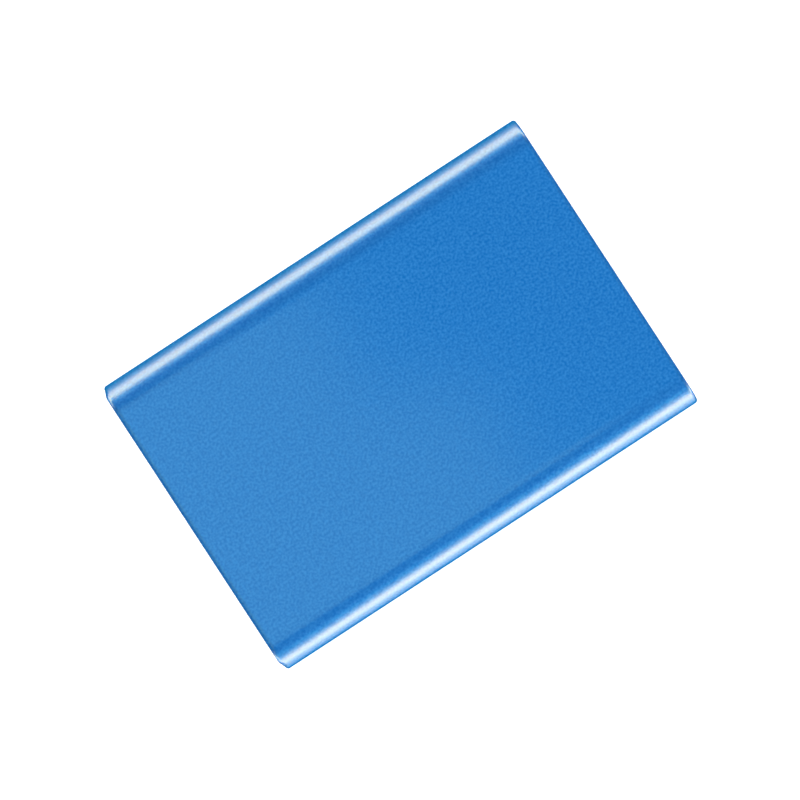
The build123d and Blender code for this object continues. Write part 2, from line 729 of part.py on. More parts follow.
def yoke_span():
    """The directions between which the yokes reach round the pivot."""
    reach = COIL_HALF_ANGLE + YOKE_MARGIN_ANGLE
    return (COIL_DIRECTION - SWING - reach, COIL_DIRECTION + reach)


def yoke_outline(inner=YOKE_INNER, outer=YOKE_OUTER, margin=0.0):
    first, last = yoke_span()
    return Pos(*PIVOT) * sector(inner, outer, first - margin, last + margin)


def yoke_post_places():
    """The two posts that carry the upper yoke, outside the coil's sweep."""
    reach = YOKE_OUTER - YOKE_POST_EDGE - YOKE_POST_RADIUS
    first, last = yoke_span()
    return [polar(PIVOT, reach, a) for a in (first + YOKE_POST_ANGLE, last - YOKE_POST_ANGLE)]


def recess_span():
    return (-PCB_WIDTH / 2 - PCB_CLEARANCE, PCB_WIDTH / 2 + PCB_CLEARANCE)


def cover_screw_places():
    """The four corners, and one beside the discs at the edge of the arms' well."""
    x = DRIVE_LENGTH / 2 - COVER_SCREW_INSET
    y = DRIVE_WIDTH / 2 - COVER_SCREW_INSET
    beside_disc = SPINDLE[0] + DISC_WELL_RADIUS - COVER_SCREW_INSET
    return [(-x, -y), (-x, y), (x, -y), (x, y), (beside_disc, -y)]


def mount_hole_places():
    end = DRIVE_LENGTH / 2
    return [(end - x, y) for x in (MOUNT_FIRST, MOUNT_SECOND) for y in spread(2, MOUNT_SPACING_Y)]


def raised_floor():
    """Over the drive board's recess and under the yokes the floor of the wells is higher."""
    over_recess = block(
        (RECESS_START - RECESS_FLOOR, DRIVE_LENGTH / 2),
        (-DRIVE_WIDTH / 2, DRIVE_WIDTH / 2),
        (FLOOR, YOKE_SEAT),
    )
    return prism(wells(), FLOOR, YOKE_SEAT) & over_recess


def connector_notch():
    across = connector_span(RECEPTACLE_MARGIN + RECEPTACLE_CLEARANCE + PLUG_POST + CHIP_CLEARANCE)
    top = PCB_TOP + PLUG_HEIGHT + CHIP_CLEARANCE
    return block((PLUG_BACK_X, DRIVE_LENGTH / 2), across, (0, top))


def mount_holes():
    """Tapped holes in the underside and, at the same stations, in the sides."""
    holes = []
    for x, y in mount_hole_places():
        holes.append(small(MOUNT_HOLE_RADIUS, 0, MOUNT_HOLE_DEPTH, (x, y)))
        side = DRIVE_WIDTH / 2 if y > 0 else MOUNT_HOLE_DEPTH - DRIVE_WIDTH / 2
        plane = Plane((x, side, MOUNT_HOLE_HEIGHT), x_dir=(1, 0, 0), z_dir=(0, -1, 0))
        holes.append(run(plane, RegularPolygon(MOUNT_HOLE_RADIUS, SMALL_SIDES), MOUNT_HOLE_DEPTH))
    return holes


def drive_outline(inset=0.0):
    """Plan of the drive, with its corners cut off, moved inwards by the inset."""
    plan = Rectangle(DRIVE_LENGTH - 2 * inset, DRIVE_WIDTH - 2 * inset)
    return chamfer(plan.vertices(), BASE_CORNER)


def drive_base():
    casting = prism(drive_outline(), 0, BASE_TOP)
    casting -= prism(wells(), FLOOR, BASE_TOP)
    casting += raised_floor() + prism(yoke_outline(), FLOOR, YOKE_SEAT)
    casting -= block((RECESS_START, DRIVE_LENGTH / 2), recess_span(), (0, RECESS_TOP))
    casting -= connector_notch()
    boss = boss_plan() - Circle(BEARING_RADIUS)
    casting += prism(Pos(*SPINDLE) * boss, FLOOR, hub_roof_under() - MOTOR_GAP)
    casting += small(PIVOT_SHAFT_RADIUS + PIVOT_PAD, FLOOR, LOW_ARM - RUNNING_GAP, PIVOT)
    for place in pcb_screw_places():
        casting += small(SCREW_HEAD_RADIUS, PCB_TOP, RECESS_TOP, place)
        casting -= small(SCREW_RADIUS, PCB_TOP, PCB_SETBACK + PCB_SCREW_LENGTH, place)
    for place in cover_screw_places():
        casting -= small(SCREW_RADIUS, COVER_TOP - SCREW_LENGTH, BASE_TOP, place)
    return casting - mount_holes()


def straight_runs(radius):
    """A circle drawn in straight runs just outside it, with one square to each side of the drive."""
    return RegularPolygon(radius, GASKET_RUNS, major_radius=False, rotation=180 / GASKET_RUNS)


def cover_gasket():
    inner = wells(straight_runs)
    outer = offset(inner, GASKET_WIDTH, kind=Kind.INTERSECTION)
    return prism(outer - inner, BASE_TOP, COVER_UNDER)


def drive_cover():
    cover = prism(drive_outline(COVER_INSET), COVER_UNDER, COVER_TOP)
    for place in [*cover_screw_places(), PIVOT]:
        cover -= small(SCREW_RADIUS, COVER_UNDER, COVER_TOP, place)
    breather = polar(SPINDLE, HUB_FLANGE_RADIUS, PIVOT_ANGLE)
    return cover - small(BREATHER_RADIUS, COVER_UNDER, COVER_TOP, breather)


def cover_screws():
    one = screw(SCREW_RADIUS, SCREW_LENGTH, SCREW_HEAD_RADIUS, SCREW_HEAD)
    return group([Pos(x, y, COVER_TOP) * one for x, y in cover_screw_places()])


def recirculation_filter():
    x, y = polar(SPINDLE, PLATTER_RADIUS + FILTER_CLEAR, FILTER_ANGLE)
    pad = Box(*FILTER_SIZE, align=(Align.CENTER, Align.CENTER, Align.MIN))
    return Pos(x, y, FLOOR) * Rot(0, 0, FILTER_ANGLE) * pad


# Drive: disc pack and spindle motor.


def hub_roof_under():
    return HIGH_PLATTER + PLATTER_THICKNESS - HUB_UNDERCUT - HUB_ROOF


def spindle_hub():
    top = hub_roof_under() + HUB_ROOF
    flange_low = LOW_PLATTER - HUB_FLANGE
    hub = disc(PLATTER_BORE_RADIUS, flange_low, top) + disc(HUB_FLANGE_RADIUS, flange_low, LOW_PLATTER)
    hub -= disc(PLATTER_BORE_RADIUS - HUB_SKIRT, flange_low, hub_roof_under())
    hub += disc(SHAFT_RADIUS, FLOOR + MOTOR_GAP, hub_roof_under())
    hub -= small(CLAMP_SCREW_RADIUS, top + HUB_UNDERCUT - CLAMP_SCREW_LENGTH, top)
    return Pos(*SPINDLE) * hub


def rotor_magnet():
    outer = PLATTER_BORE_RADIUS - HUB_SKIRT
    low = LOW_PLATTER - HUB_FLANGE
    band = RegularPolygon(outer, ROTOR_FLATS) - RegularPolygon(outer - ROTOR_MAGNET_THICKNESS, ROTOR_FLATS)
    return prism(Pos(*SPINDLE) * band, low, low + ROTOR_MAGNET_HEIGHT)


def spindle_bearing():
    top = hub_roof_under() - MOTOR_GAP
    return ring(BEARING_RADIUS, SHAFT_RADIUS + RUNNING_GAP, FLOOR, top, SPINDLE)


def stator_radius():
    """Reach of the flat tips, whose corners come closest to the rotor magnet."""
    corner = PLATTER_BORE_RADIUS - HUB_SKIRT - ROTOR_MAGNET_THICKNESS - MOTOR_GAP
    return sqrt(corner**2 - (STATOR_TIP_WIDTH / 2) ** 2)


def stator_heights():
    low = FLOOR + MOTOR_GAP + COIL_THICKNESS
    return (low, low + STATOR_THICKNESS)


def stator_tooth():
    """One tooth along +X: a straight neck under a broad tip."""
    tip = stator_radius()
    neck = taper(BOSS_RADIUS, tip, STATOR_TOOTH_WIDTH, STATOR_TOOTH_WIDTH)
    return neck + taper(tip - STATOR_TIP_DEPTH, tip, STATOR_NECK_SIDE, STATOR_TIP_WIDTH)


def boss_plan(grow=0.0):
    """The base's motor boss, whose flats key the stator to it."""
    return RegularPolygon(BOSS_RADIUS + grow, 2 * STATOR_TEETH)


def stator_core():
    yoke = boss_plan(STATOR_TIP_DEPTH)
    for k in range(STATOR_TEETH):
        yoke += Rot(0, 0, k * 360 / STATOR_TEETH) * stator_tooth()
    return Pos(*SPINDLE) * prism(yoke - boss_plan(), *stator_heights())


def stator_coils():
    low, high = stator_heights()
    inner = BOSS_RADIUS + STATOR_TIP_DEPTH + COIL_THICKNESS / 2
    outer = stator_radius() - STATOR_TIP_DEPTH - COIL_THICKNESS / 2
    wound = block(
        (inner, outer),
        (-STATOR_TOOTH_WIDTH / 2 - COIL_THICKNESS, STATOR_TOOTH_WIDTH / 2 + COIL_THICKNESS),
        (low - COIL_THICKNESS, high + COIL_THICKNESS),
    )
    coil = wound - block((inner, outer), (-STATOR_TOOTH_WIDTH / 2, STATOR_TOOTH_WIDTH / 2), (low, high))
    turns = [Rot(0, 0, k * 360 / STATOR_TEETH) * coil for k in range(STATOR_TEETH)]
    return group([Pos(*SPINDLE) * turned for turned in turns])


def platter(low):
    return ring(PLATTER_RADIUS, PLATTER_BORE_RADIUS, low, low + PLATTER_THICKNESS, SPINDLE)


def lower_platter():
    return platter(LOW_PLATTER)


def upper_platter():
    return platter(HIGH_PLATTER)


def disc_spacer():
    low = LOW_PLATTER + PLATTER_THICKNESS
    return ring(HUB_FLANGE_RADIUS, PLATTER_BORE_RADIUS, low, HIGH_PLATTER, SPINDLE)


def disc_clamp():
    low = HIGH_PLATTER + PLATTER_THICKNESS
    high = low + CLAMP_THICKNESS
    return disc(CLAMP_RADIUS, low, high, SPINDLE) - small(CLAMP_SCREW_RADIUS, low, high, SPINDLE)


def clamp_screw():
    top = HIGH_PLATTER + PLATTER_THICKNESS + CLAMP_THICKNESS
    length = CLAMP_THICKNESS + CLAMP_SCREW_LENGTH
    one = screw(CLAMP_SCREW_RADIUS, length, CLAMP_SCREW_HEAD_RADIUS, CLAMP_SCREW_HEAD)
    return Pos(*SPINDLE, top) * one


# Drive: head stack and voice coil motor. These are drawn with the arms along +X from the pivot.


def at_pivot(shape, direction):
    """Carries a shape drawn along +X from the pivot to its place, turned to a direction."""
    return Pos(*PIVOT) * Rot(0, 0, direction) * shape


def arm_levels():
    middle = LOW_PLATTER + PLATTER_THICKNESS + ARM_PITCH
    return [LOW_ARM, middle, HIGH_ARM]


def suspension_levels():
    """The underside of each head suspension, with the side its slider faces."""
    low, middle, high = arm_levels()
    return [
        (low + ARM_THICKNESS, 1),
        (middle - SUSPENSION_THICKNESS, -1),
        (middle + ARM_THICKNESS, 1),
        (high - SUSPENSION_THICKNESS, -1),
    ]


def coil_outline(inner, outer, half_angle):
    """A wedge of the coil's sweep, drawn along -X, away from the arms."""
    return sector(inner, outer, 180 - half_angle, 180 + half_angle)


def arm_block():
    plan = taper(0, ARM_REACH, ARM_ROOT_WIDTH, ARM_TIP_WIDTH)
    plan -= taper(WINDOW_START, WINDOW_END, WINDOW_ROOT_WIDTH, WINDOW_TIP_WIDTH)
    top = HIGH_ARM + ARM_THICKNESS
    arms = disc(ARM_HUB_RADIUS, LOW_ARM, top)
    for low in arm_levels():
        arms += prism(plan, low, low + ARM_THICKNESS)
    fork = coil_outline(PIVOT_BEARING_RADIUS, COIL_OUTER, FORK_HALF_ANGLE)
    fork -= coil_outline(COIL_INNER, COIL_OUTER, COIL_HALF_ANGLE)
    arms += prism(fork, COIL_BOTTOM, COIL_TOP)
    return at_pivot(arms - disc(PIVOT_BEARING_RADIUS, LOW_ARM, top), PARK_DIRECTION)


def voice_coil():
    window_angle = COIL_HALF_ANGLE - degrees(COIL_WINDING / COIL_OUTER)
    window = coil_outline(COIL_INNER + COIL_WINDING, COIL_OUTER - COIL_WINDING, window_angle)
    wound = coil_outline(COIL_INNER, COIL_OUTER, COIL_HALF_ANGLE) - window
    return at_pivot(prism(wound, COIL_BOTTOM, COIL_TOP), PARK_DIRECTION)


def head_suspensions():
    start = ARM_REACH - SUSPENSION_LAP
    blade = taper(start, HEAD_REACH, SUSPENSION_ROOT_WIDTH, SUSPENSION_TIP_WIDTH)
    blade += taper(HEAD_REACH, TIP_REACH, TAB_WIDTH, TAB_WIDTH)
    sheets = [prism(blade, low, low + SUSPENSION_THICKNESS) for low, _ in suspension_levels()]
    return group([at_pivot(sheet, PARK_DIRECTION) for sheet in sheets])


def head_sliders():
    sliders = []
    for low, facing in suspension_levels():
        z = low + SUSPENSION_THICKNESS if facing == 1 else low - SLIDER_SIZE[2]
        pad = Box(*SLIDER_SIZE, align=(Align.MAX, Align.CENTER, Align.MIN))
        sliders.append(at_pivot(Pos(HEAD_REACH, 0, z) * pad, PARK_DIRECTION))
    return group(sliders)


def pivot_bearing():
    top = HIGH_ARM + ARM_THICKNESS
    return ring(PIVOT_BEARING_RADIUS, PIVOT_SHAFT_RADIUS + RUNNING_GAP, LOW_ARM, top, PIVOT)


def pivot_shaft():
    post = disc(PIVOT_SHAFT_RADIUS, LOW_ARM - RUNNING_GAP, COVER_UNDER, PIVOT)
    return post - small(SCREW_RADIUS, COVER_TOP - SCREW_LENGTH, COVER_UNDER, PIVOT)


def pivot_screw():
    return Pos(*PIVOT, COVER_TOP) * screw(SCREW_RADIUS, SCREW_LENGTH, SCREW_HEAD_RADIUS, SCREW_HEAD)


def lower_yoke():
    return prism(yoke_outline(), YOKE_SEAT, LOWER_YOKE_TOP)


def voice_coil_magnet():
    outline = yoke_outline(COIL_INNER, COIL_OUTER, -degrees(MAGNET_MARGIN / COIL_INNER))
    return prism(outline, MAGNET_BOTTOM, MAGNET_TOP)


def upper_yoke():
    plate = prism(yoke_outline(), MAGNET_TOP, UPPER_YOKE_TOP)
    for place in yoke_post_places():
        plate += small(YOKE_POST_RADIUS, LOWER_YOKE_TOP, MAGNET_TOP, place)
    return plate


def crash_stop_places():
    """Rubber posts that the coil's fork meets just past each end of its swing, as (place, floor)."""
    beyond = FORK_HALF_ANGLE + degrees((STOP_RADIUS + STOP_GAP) / STOP_REACH)
    parked = polar(PIVOT, STOP_REACH, COIL_DIRECTION + beyond)
    inner = polar(PIVOT, STOP_REACH, COIL_DIRECTION - SWING - beyond)
    return [(parked, FLOOR), (inner, YOKE_SEAT)]


def crash_stops():
    return group([small(STOP_RADIUS, floor, COIL_TOP, place) for place, floor in crash_stop_places()])


def parking_ramp():
    """A comb about the pivot: the lift tabs slide through its slots, off the edge of the discs."""
    inner = HEAD_REACH + RAMP_HEAD_GAP
    first = PARK_DIRECTION - RAMP_BEFORE
    last = PARK_DIRECTION + RAMP_AFTER
    top = suspension_levels()[-1][0] + SUSPENSION_THICKNESS + RAMP_SLOT + RAMP_OVER
    comb = prism(sector(inner, TIP_REACH + RAMP_WALL, first, last), FLOOR, top)
    slot = sector(inner, TIP_REACH + RAMP_SLOT / 2, first, last)
    for low, _ in suspension_levels():
        middle = low + SUSPENSION_THICKNESS / 2
        comb -= prism(slot, middle - RAMP_SLOT / 2, middle + RAMP_SLOT / 2)
    comb = Pos(*PIVOT) * comb
    for low in (LOW_PLATTER, HIGH_PLATTER):
        high = low + PLATTER_THICKNESS
        comb -= disc(PLATTER_RADIUS + RAMP_DISC_GAP, low - RAMP_DISC_GAP, high + RAMP_DISC_GAP, SPINDLE)
    return comb


# Drive: board and connector.


def pcb_screw_places():
    """One beside the plug and one at the inner edge, both clear of the wells above."""
    y = PCB_WIDTH / 2 - PCB_SCREW_INSET
    inner_x = RECESS_START + PCB_CLEARANCE + PCB_SCREW_INSET
    return [(DRIVE_LENGTH / 2 - PCB_SCREW_FROM_END, y), (inner_x, -y)]


def drive_board():
    board = block(
        (RECESS_START + PCB_CLEARANCE, DRIVE_LENGTH / 2 - PCB_CLEARANCE),
        (-PCB_WIDTH / 2, PCB_WIDTH / 2),
        (PCB_SETBACK, PCB_TOP),
    )
    for place in pcb_screw_places():
        board -= small(SCREW_RADIUS, PCB_SETBACK, PCB_TOP, place)
    return board


def drive_board_screws():
    one = Rot(180, 0, 0) * screw(SCREW_RADIUS, PCB_SCREW_LENGTH, SCREW_HEAD_RADIUS, PCB_SETBACK)
    return group([Pos(x, y, PCB_SETBACK) * one for x, y in pcb_screw_places()])


def drive_chip(length, width, y):
    """A chip on the drive board's inner face, in its recess."""
    package = Box(length, width, CHIP_HEIGHT, align=(Align.CENTER, Align.CENTER, Align.MIN))
    return Pos(RECESS_START + CHIP_ROW_X, y, PCB_TOP) * package


def controller_chip():
    return drive_chip(CONTROLLER_SIZE, CONTROLLER_SIZE, 0)


def memory_chip():
    return drive_chip(*MEMORY_SIZE, CONTROLLER_SIZE / 2 + MEMORY_SIZE[1] / 2 + CHIP_SPACE)


def motor_driver_chip():
    return drive_chip(DRIVER_SIZE, DRIVER_SIZE, -CONTROLLER_SIZE / 2 - DRIVER_SIZE / 2 - CHIP_SPACE)


def drive_plug():
    x = (PLUG_BACK_X + CHIP_CLEARANCE, DRIVE_LENGTH / 2)
    back_x = PLUG_BACK_X + PLUG_BACK
    margin = RECEPTACLE_MARGIN + RECEPTACLE_CLEARANCE
    inside = connector_span(margin)
    outside = connector_span(margin + PLUG_POST)
    z = (PCB_TOP, PCB_TOP + PLUG_HEIGHT)
    housing = block((x[0], back_x), outside, z)
    housing += block(x, (outside[0], inside[0]), z) + block(x, (inside[1], outside[1]), z)
    return housing + run(facing_end(back_x, 0, BLADE_MIDDLE), blade_section(), BLADE_LENGTH)


def plug_contacts():
    """Strips along the plain side of each blade."""
    start = PLUG_BACK_X + PLUG_BACK
    low = BLADE_MIDDLE - BLADE_THICKNESS / 2
    return pin_row(start, start + PIN_LENGTH, low - PIN_THICKNESS, low)


# Drive: flexible lead from the arm block to its bracket on the base.


FLEX_RADIUS = FLEX_SPAN / radians(FLEX_SWEEP)
FLEX_HEADING = PARK_DIRECTION + 90  # straight out of the arm block's side, then bending to the right


def flex_centre():
    """Centre of the lead's bend."""
    start = polar(PIVOT, ARM_HUB_RADIUS + RUNNING_GAP, FLEX_HEADING)
    return polar(start, FLEX_RADIUS, FLEX_HEADING - 90)


def flex_cable():
    half = FLEX_THICKNESS / 2
    last = FLEX_HEADING + 90
    strip = sector(FLEX_RADIUS - half, FLEX_RADIUS + half, last - FLEX_SWEEP, last)
    low = YOKE_SEAT + FLEX_OVER
    return prism(Pos(*flex_centre()) * strip, low, low + FLEX_HEIGHT)


def flex_bracket():
    heading = FLEX_HEADING - FLEX_SWEEP
    x, y = polar(flex_centre(), FLEX_RADIUS, heading + 90)
    pad = Box(*BRACKET_SIZE, align=(Align.MIN, Align.CENTER, Align.MIN))
    return Pos(x, y, YOKE_SEAT) * Rot(0, 0, heading) * pad


ENCLOSURE = [
    sleeve,
    front_end_cap,
    rear_end_cap,
    light_pipe,
    lower_foam_pad,
    upper_foam_pad,
    bridge_board,
    board_screws,
    socket_shell,
    socket_insulator,
    socket_contacts,
    drive_receptacle,
    receptacle_contacts,
    bridge_chip,
    crystal,
    board_capacitors,
    status_lamp,
]
DRIVE = [
    drive_base,
    drive_cover,
    cover_gasket,
    cover_screws,
    recirculation_filter,
    spindle_bearing,
    stator_core,
    stator_coils,
    spindle_hub,
    rotor_magnet,
    lower_platter,
    disc_spacer,
    upper_platter,
    disc_clamp,
    clamp_screw,
    pivot_shaft,
    pivot_bearing,
    pivot_screw,
    arm_block,
    voice_coil,
    head_suspensions,
    head_sliders,
    lower_yoke,
    upper_yoke,
    voice_coil_magnet,
    crash_stops,
    parking_ramp,
    flex_cable,
    flex_bracket,
    drive_board,
    drive_board_screws,
    controller_chip,
    memory_chip,
    motor_driver_chip,
    drive_plug,
    plug_contacts,
]


def main():
    os.makedirs("parts", exist_ok=True)
    for piece in ENCLOSURE:
        export_step(piece(), f"parts/{piece.__name__}.step")
    for piece in DRIVE:
        export_step(IN_DRIVE * piece(), f"parts/{piece.__name__}.step")
    print(f"sleeve {SLEEVE_LENGTH:.2f} x {SLEEVE_WIDTH:.2f} x {SLEEVE_HEIGHT:.2f}")
    print(f"drive {DRIVE_LENGTH:.2f} x {DRIVE_WIDTH:.2f} x {DRIVE_HEIGHT:.2f}")
    print(f"spindle at {DRIVE_X + SPINDLE[0]:.3f}, {SPINDLE[1]:.3f}")
    print(f"pivot at {DRIVE_X + PIVOT[0]:.3f}, {PIVOT[1]:.3f}, arms swing {SWING:.2f} degrees")


main()
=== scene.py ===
# %% [markdown]
# # A portable hard drive in a blue metal sleeve
# The solids of the drive are already made and packed. This lesson loads them as a fixed frame,
# gives them rounded edges, threads and finishes, and lights them as in a product picture.
# Every length is in metres, so sizes in millimetres are written with `* MM`.

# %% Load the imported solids
import json
import math

import bmesh
import bpy
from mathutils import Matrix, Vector


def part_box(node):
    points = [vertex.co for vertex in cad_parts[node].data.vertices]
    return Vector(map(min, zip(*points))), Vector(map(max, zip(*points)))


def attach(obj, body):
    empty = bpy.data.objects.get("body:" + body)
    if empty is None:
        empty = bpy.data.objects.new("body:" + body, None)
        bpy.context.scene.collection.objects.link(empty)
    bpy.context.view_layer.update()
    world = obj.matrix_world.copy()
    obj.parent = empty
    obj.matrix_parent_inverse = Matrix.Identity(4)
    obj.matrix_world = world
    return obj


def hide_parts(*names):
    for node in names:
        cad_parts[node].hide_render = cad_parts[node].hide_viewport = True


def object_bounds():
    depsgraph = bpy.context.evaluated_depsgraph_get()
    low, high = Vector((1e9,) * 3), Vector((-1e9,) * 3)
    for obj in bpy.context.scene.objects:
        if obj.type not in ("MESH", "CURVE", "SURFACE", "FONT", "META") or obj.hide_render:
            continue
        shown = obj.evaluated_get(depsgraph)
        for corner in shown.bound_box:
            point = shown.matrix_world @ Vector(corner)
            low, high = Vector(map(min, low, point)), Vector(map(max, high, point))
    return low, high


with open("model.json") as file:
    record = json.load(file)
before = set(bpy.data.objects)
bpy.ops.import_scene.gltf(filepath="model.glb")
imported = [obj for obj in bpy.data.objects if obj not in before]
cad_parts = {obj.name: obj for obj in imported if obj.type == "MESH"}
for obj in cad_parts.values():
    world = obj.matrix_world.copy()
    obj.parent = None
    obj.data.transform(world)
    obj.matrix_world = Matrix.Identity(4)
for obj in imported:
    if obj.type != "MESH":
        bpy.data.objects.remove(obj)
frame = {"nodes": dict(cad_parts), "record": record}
cad_low, cad_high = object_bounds()
MM = 0.001
solids = frame["nodes"]
slot_of = {row["node"]: row["material_slot"] for row in frame["record"]["subparts"]}
print(len(solids), "solids; box in mm:", [round(side / MM, 2) for side in cad_high - cad_low])

# %% [markdown]
# ## Camera
# The picture looks straight down on the drive, and the drive lies turned in it. A long lens far
# away keeps the long sides parallel, as they are there. The lens follows from how many pixels of
# an 800 pixel picture one metre of the drive should fill.

# %% Look straight down
PICTURE_SIDE = 800
PIXELS_PER_METRE = 4377
CAMERA_HEIGHT = 5.0
CAMERA_OFFSET = (-0.55 * MM, -0.96 * MM)
CAMERA_TURN = math.radians(-33.15)
SENSOR = 36
middle_height = (cad_low.z + cad_high.z) / 2
camera = bpy.data.objects.new("camera", bpy.data.cameras.new("camera"))
bpy.context.collection.objects.link(camera)
camera.data.sensor_width = SENSOR
camera.data.lens = PIXELS_PER_METRE * (CAMERA_HEIGHT - middle_height) * SENSOR / PICTURE_SIDE
camera.location = (*CAMERA_OFFSET, CAMERA_HEIGHT)
camera.rotation_euler = (0, 0, CAMERA_TURN)
bpy.context.scene.camera = camera
bpy.context.scene.view_settings.view_transform = "Standard"
print("lens", round(camera.data.lens, 1), "mm")

# %% [markdown]
# ## Lights
# A dyed metal shows two things at once: its own colour, which any soft light brings out, and the
# lamps that its skin mirrors. One lamp would do both, and neither could be set alone. A lamp
# object's ray switches part the two jobs, so each lamp here either lights or is mirrored.

# %% Flat lamps
WHITE = (1.0, 1.0, 1.0)


def panel(name, size, place, turn, brightness, lights_colour, colour=WHITE):
    """A flat lamp that either lights the colours or is only mirrored."""
    lamp = bpy.data.lights.new(name, "AREA")
    lamp.shape = "RECTANGLE"
    lamp.size, lamp.size_y = size
    lamp.energy = brightness * math.pi * size[0] * size[1]
    lamp.color = colour
    holder = bpy.data.objects.new(name, lamp)
    bpy.context.collection.objects.link(holder)
    holder.location = place
    holder.rotation_euler = turn
    holder.visible_camera = False
    holder.visible_diffuse = lights_colour
    holder.visible_glossy = not lights_colour


print("lamp helper ready")

# %% [markdown]
# Six soft lamps light the colour: two hang high beyond the short ends, and four stand round the
# corners. None is straight above or straight beside the drive. What the flat top and the rounded
# sides mirror to the camera lies there, and a little light leaks past a ray switch.

# %% Soft lamps for the colour
TOP_SIZE = (0.55, 2.4)
TOP_ALONG, TOP_HEIGHT = 0.65, 1.5
TOP_TILT = math.radians(23)
TOP_BRIGHTNESS = 1.47
CORNER_SIZE = (0.9, 0.9)
CORNER_ALONG, CORNER_HEIGHT = 0.8, 0.45
CORNER_TILT = math.radians(70)
# How far across each pair of corner lamps stands, and its brightness.
CORNER_PAIRS = ((1.0, 2.7), (-1.0, 3.7))

for end in (1, -1):
    place, turn = (end * TOP_ALONG, 0, TOP_HEIGHT), (0, end * TOP_TILT, 0)
    panel("soft_top", TOP_SIZE, place, turn, TOP_BRIGHTNESS, lights_colour=True)
for across, brightness in CORNER_PAIRS:
    for along in (CORNER_ALONG, -CORNER_ALONG):
        place = (along, across, CORNER_HEIGHT)
        turn = (CORNER_TILT, 0, math.atan2(-along, across) + math.pi)
        panel("soft_corner", CORNER_SIZE, place, turn, brightness, lights_colour=True)
print("soft lamps:", 2 + 2 * len(CORNER_PAIRS))

# %% [markdown]
# The drive has a soft white streak along each long side, brightest part of the way down and fading
# towards the table. One tall lamp would end in a hard edge, so each side gets a stack of bands on
# a circle round its shoulder, each with its own brightness. The lowest ones hang below the table
# top, which mirrored rays will pass through.

# %% Bands for the sides to mirror
BAND_DISTANCE = 0.7
BAND_LENGTH = 3.0
SHOULDER_ACROSS, SHOULDER_UP = 36 * MM, 11 * MM
# Each band runs between two angles from straight up, in degrees, and has its brightness. The far
# side is the one that is higher in the picture.
FAR_BANDS = (
    (58, 66, 6.0),
    (66, 82, 20.6),
    (82, 90, 16.4),
    (90, 98, 10.0),
    (98, 114, 4.0),
    (114, 130, 1.8),
)
NEAR_BANDS = (
    (64, 75, 5.2),
    (75, 90, 23.0),
    (90, 98, 22.4),
    (98, 106, 18.0),
    (106, 122, 12.0),
    (122, 138, 15.0),
)

for side, bands in ((1, FAR_BANDS), (-1, NEAR_BANDS)):
    for low, high, brightness in bands:
        angle = math.radians((low + high) / 2)
        size = (BAND_LENGTH, 2 * BAND_DISTANCE * math.tan(math.radians(high - low) / 2))
        across = side * (SHOULDER_ACROSS + BAND_DISTANCE * math.sin(angle))
        place = (0, across, SHOULDER_UP + BAND_DISTANCE * math.cos(angle))
        turn = (-side * angle, 0, 0)
        panel("side_band", size, place, turn, brightness, lights_colour=False)
print("bands:", len(FAR_BANDS), "and", len(NEAR_BANDS))

# %% [markdown]
# The flat top is a little paler at one end, with a slanting border. A low panel over that end is
# mirrored there and fades out towards the middle because the blasted surface blurs its edge. The
# panel is made of narrow strips, each set back a little, so that its edge slants while its sides
# stay clear of the rounded shoulders. The finish mirrors in a warm tint, and the strips' own tint
# makes up for it, so the end turns out paler and not redder.

# %% Strips over the paler end
PALE_ROWS = 4
PALE_SIZE = (0.15, 0.045)
PALE_HEIGHT = 0.155
PALE_EDGE = 6 * MM
PALE_SLANT = math.tan(math.radians(24.5))
PALE_BRIGHTNESS = 2.25
PALE_TINT = (0.54, 1.0, 0.80)
FACING_DOWN = (0, 0, 0)

for row in range(PALE_ROWS):
    across = (row - (PALE_ROWS - 1) / 2) * PALE_SIZE[1]
    along = PALE_EDGE - across * PALE_SLANT - PALE_SIZE[0] / 2
    panel(
        "pale_end",
        PALE_SIZE,
        (along, across, PALE_HEIGHT),
        FACING_DOWN,
        PALE_BRIGHTNESS,
        lights_colour=False,
        colour=PALE_TINT,
    )
print("strips over the paler end:", PALE_ROWS)

# %% [markdown]
# ## Room and table
# The room is even and white. Its mirror image is kept dim so that the blue stays deep, while the
# camera sees it at full strength. The kind of ray chooses between the three.

# %% Even room
ROOM_EVEN, ROOM_MIRRORED, ROOM_SEEN = 0.36, 0.05, 1.0
room = bpy.data.worlds.new("room")
bpy.context.scene.world = room
room.use_nodes = True
room_tree = room.node_tree
ray = room_tree.nodes.new("ShaderNodeLightPath")


def white_glow(background, strength):
    """Makes a background white and this strong, and gives its light."""
    background.inputs["Color"].default_value = (*WHITE, 1)
    background.inputs["Strength"].default_value = strength
    return background.outputs["Background"]


lit = white_glow(room_tree.nodes["Background"], ROOM_EVEN)
for kind, strength in (("Is Glossy Ray", ROOM_MIRRORED), ("Is Camera Ray", ROOM_SEEN)):
    choose = room_tree.nodes.new("ShaderNodeMixShader")
    light = white_glow(room_tree.nodes.new("ShaderNodeBackground"), strength)
    room_tree.links.new(ray.outputs[kind], choose.inputs["Fac"])
    room_tree.links.new(lit, choose.inputs[1])
    room_tree.links.new(light, choose.inputs[2])
    lit = choose.outputs["Shader"]
room_tree.links.new(lit, room_tree.nodes["World Output"].inputs["Surface"])
print("room lit")

# %% [markdown]
# The table is a white sheet lit from below, as photographers use it when no shadow should show. It
# is one flat face, far wider than the view. Mirrored and bounced rays pass through it, or its own
# glow would wash out the sides of the drive. It gets its finish at the end of the lesson.

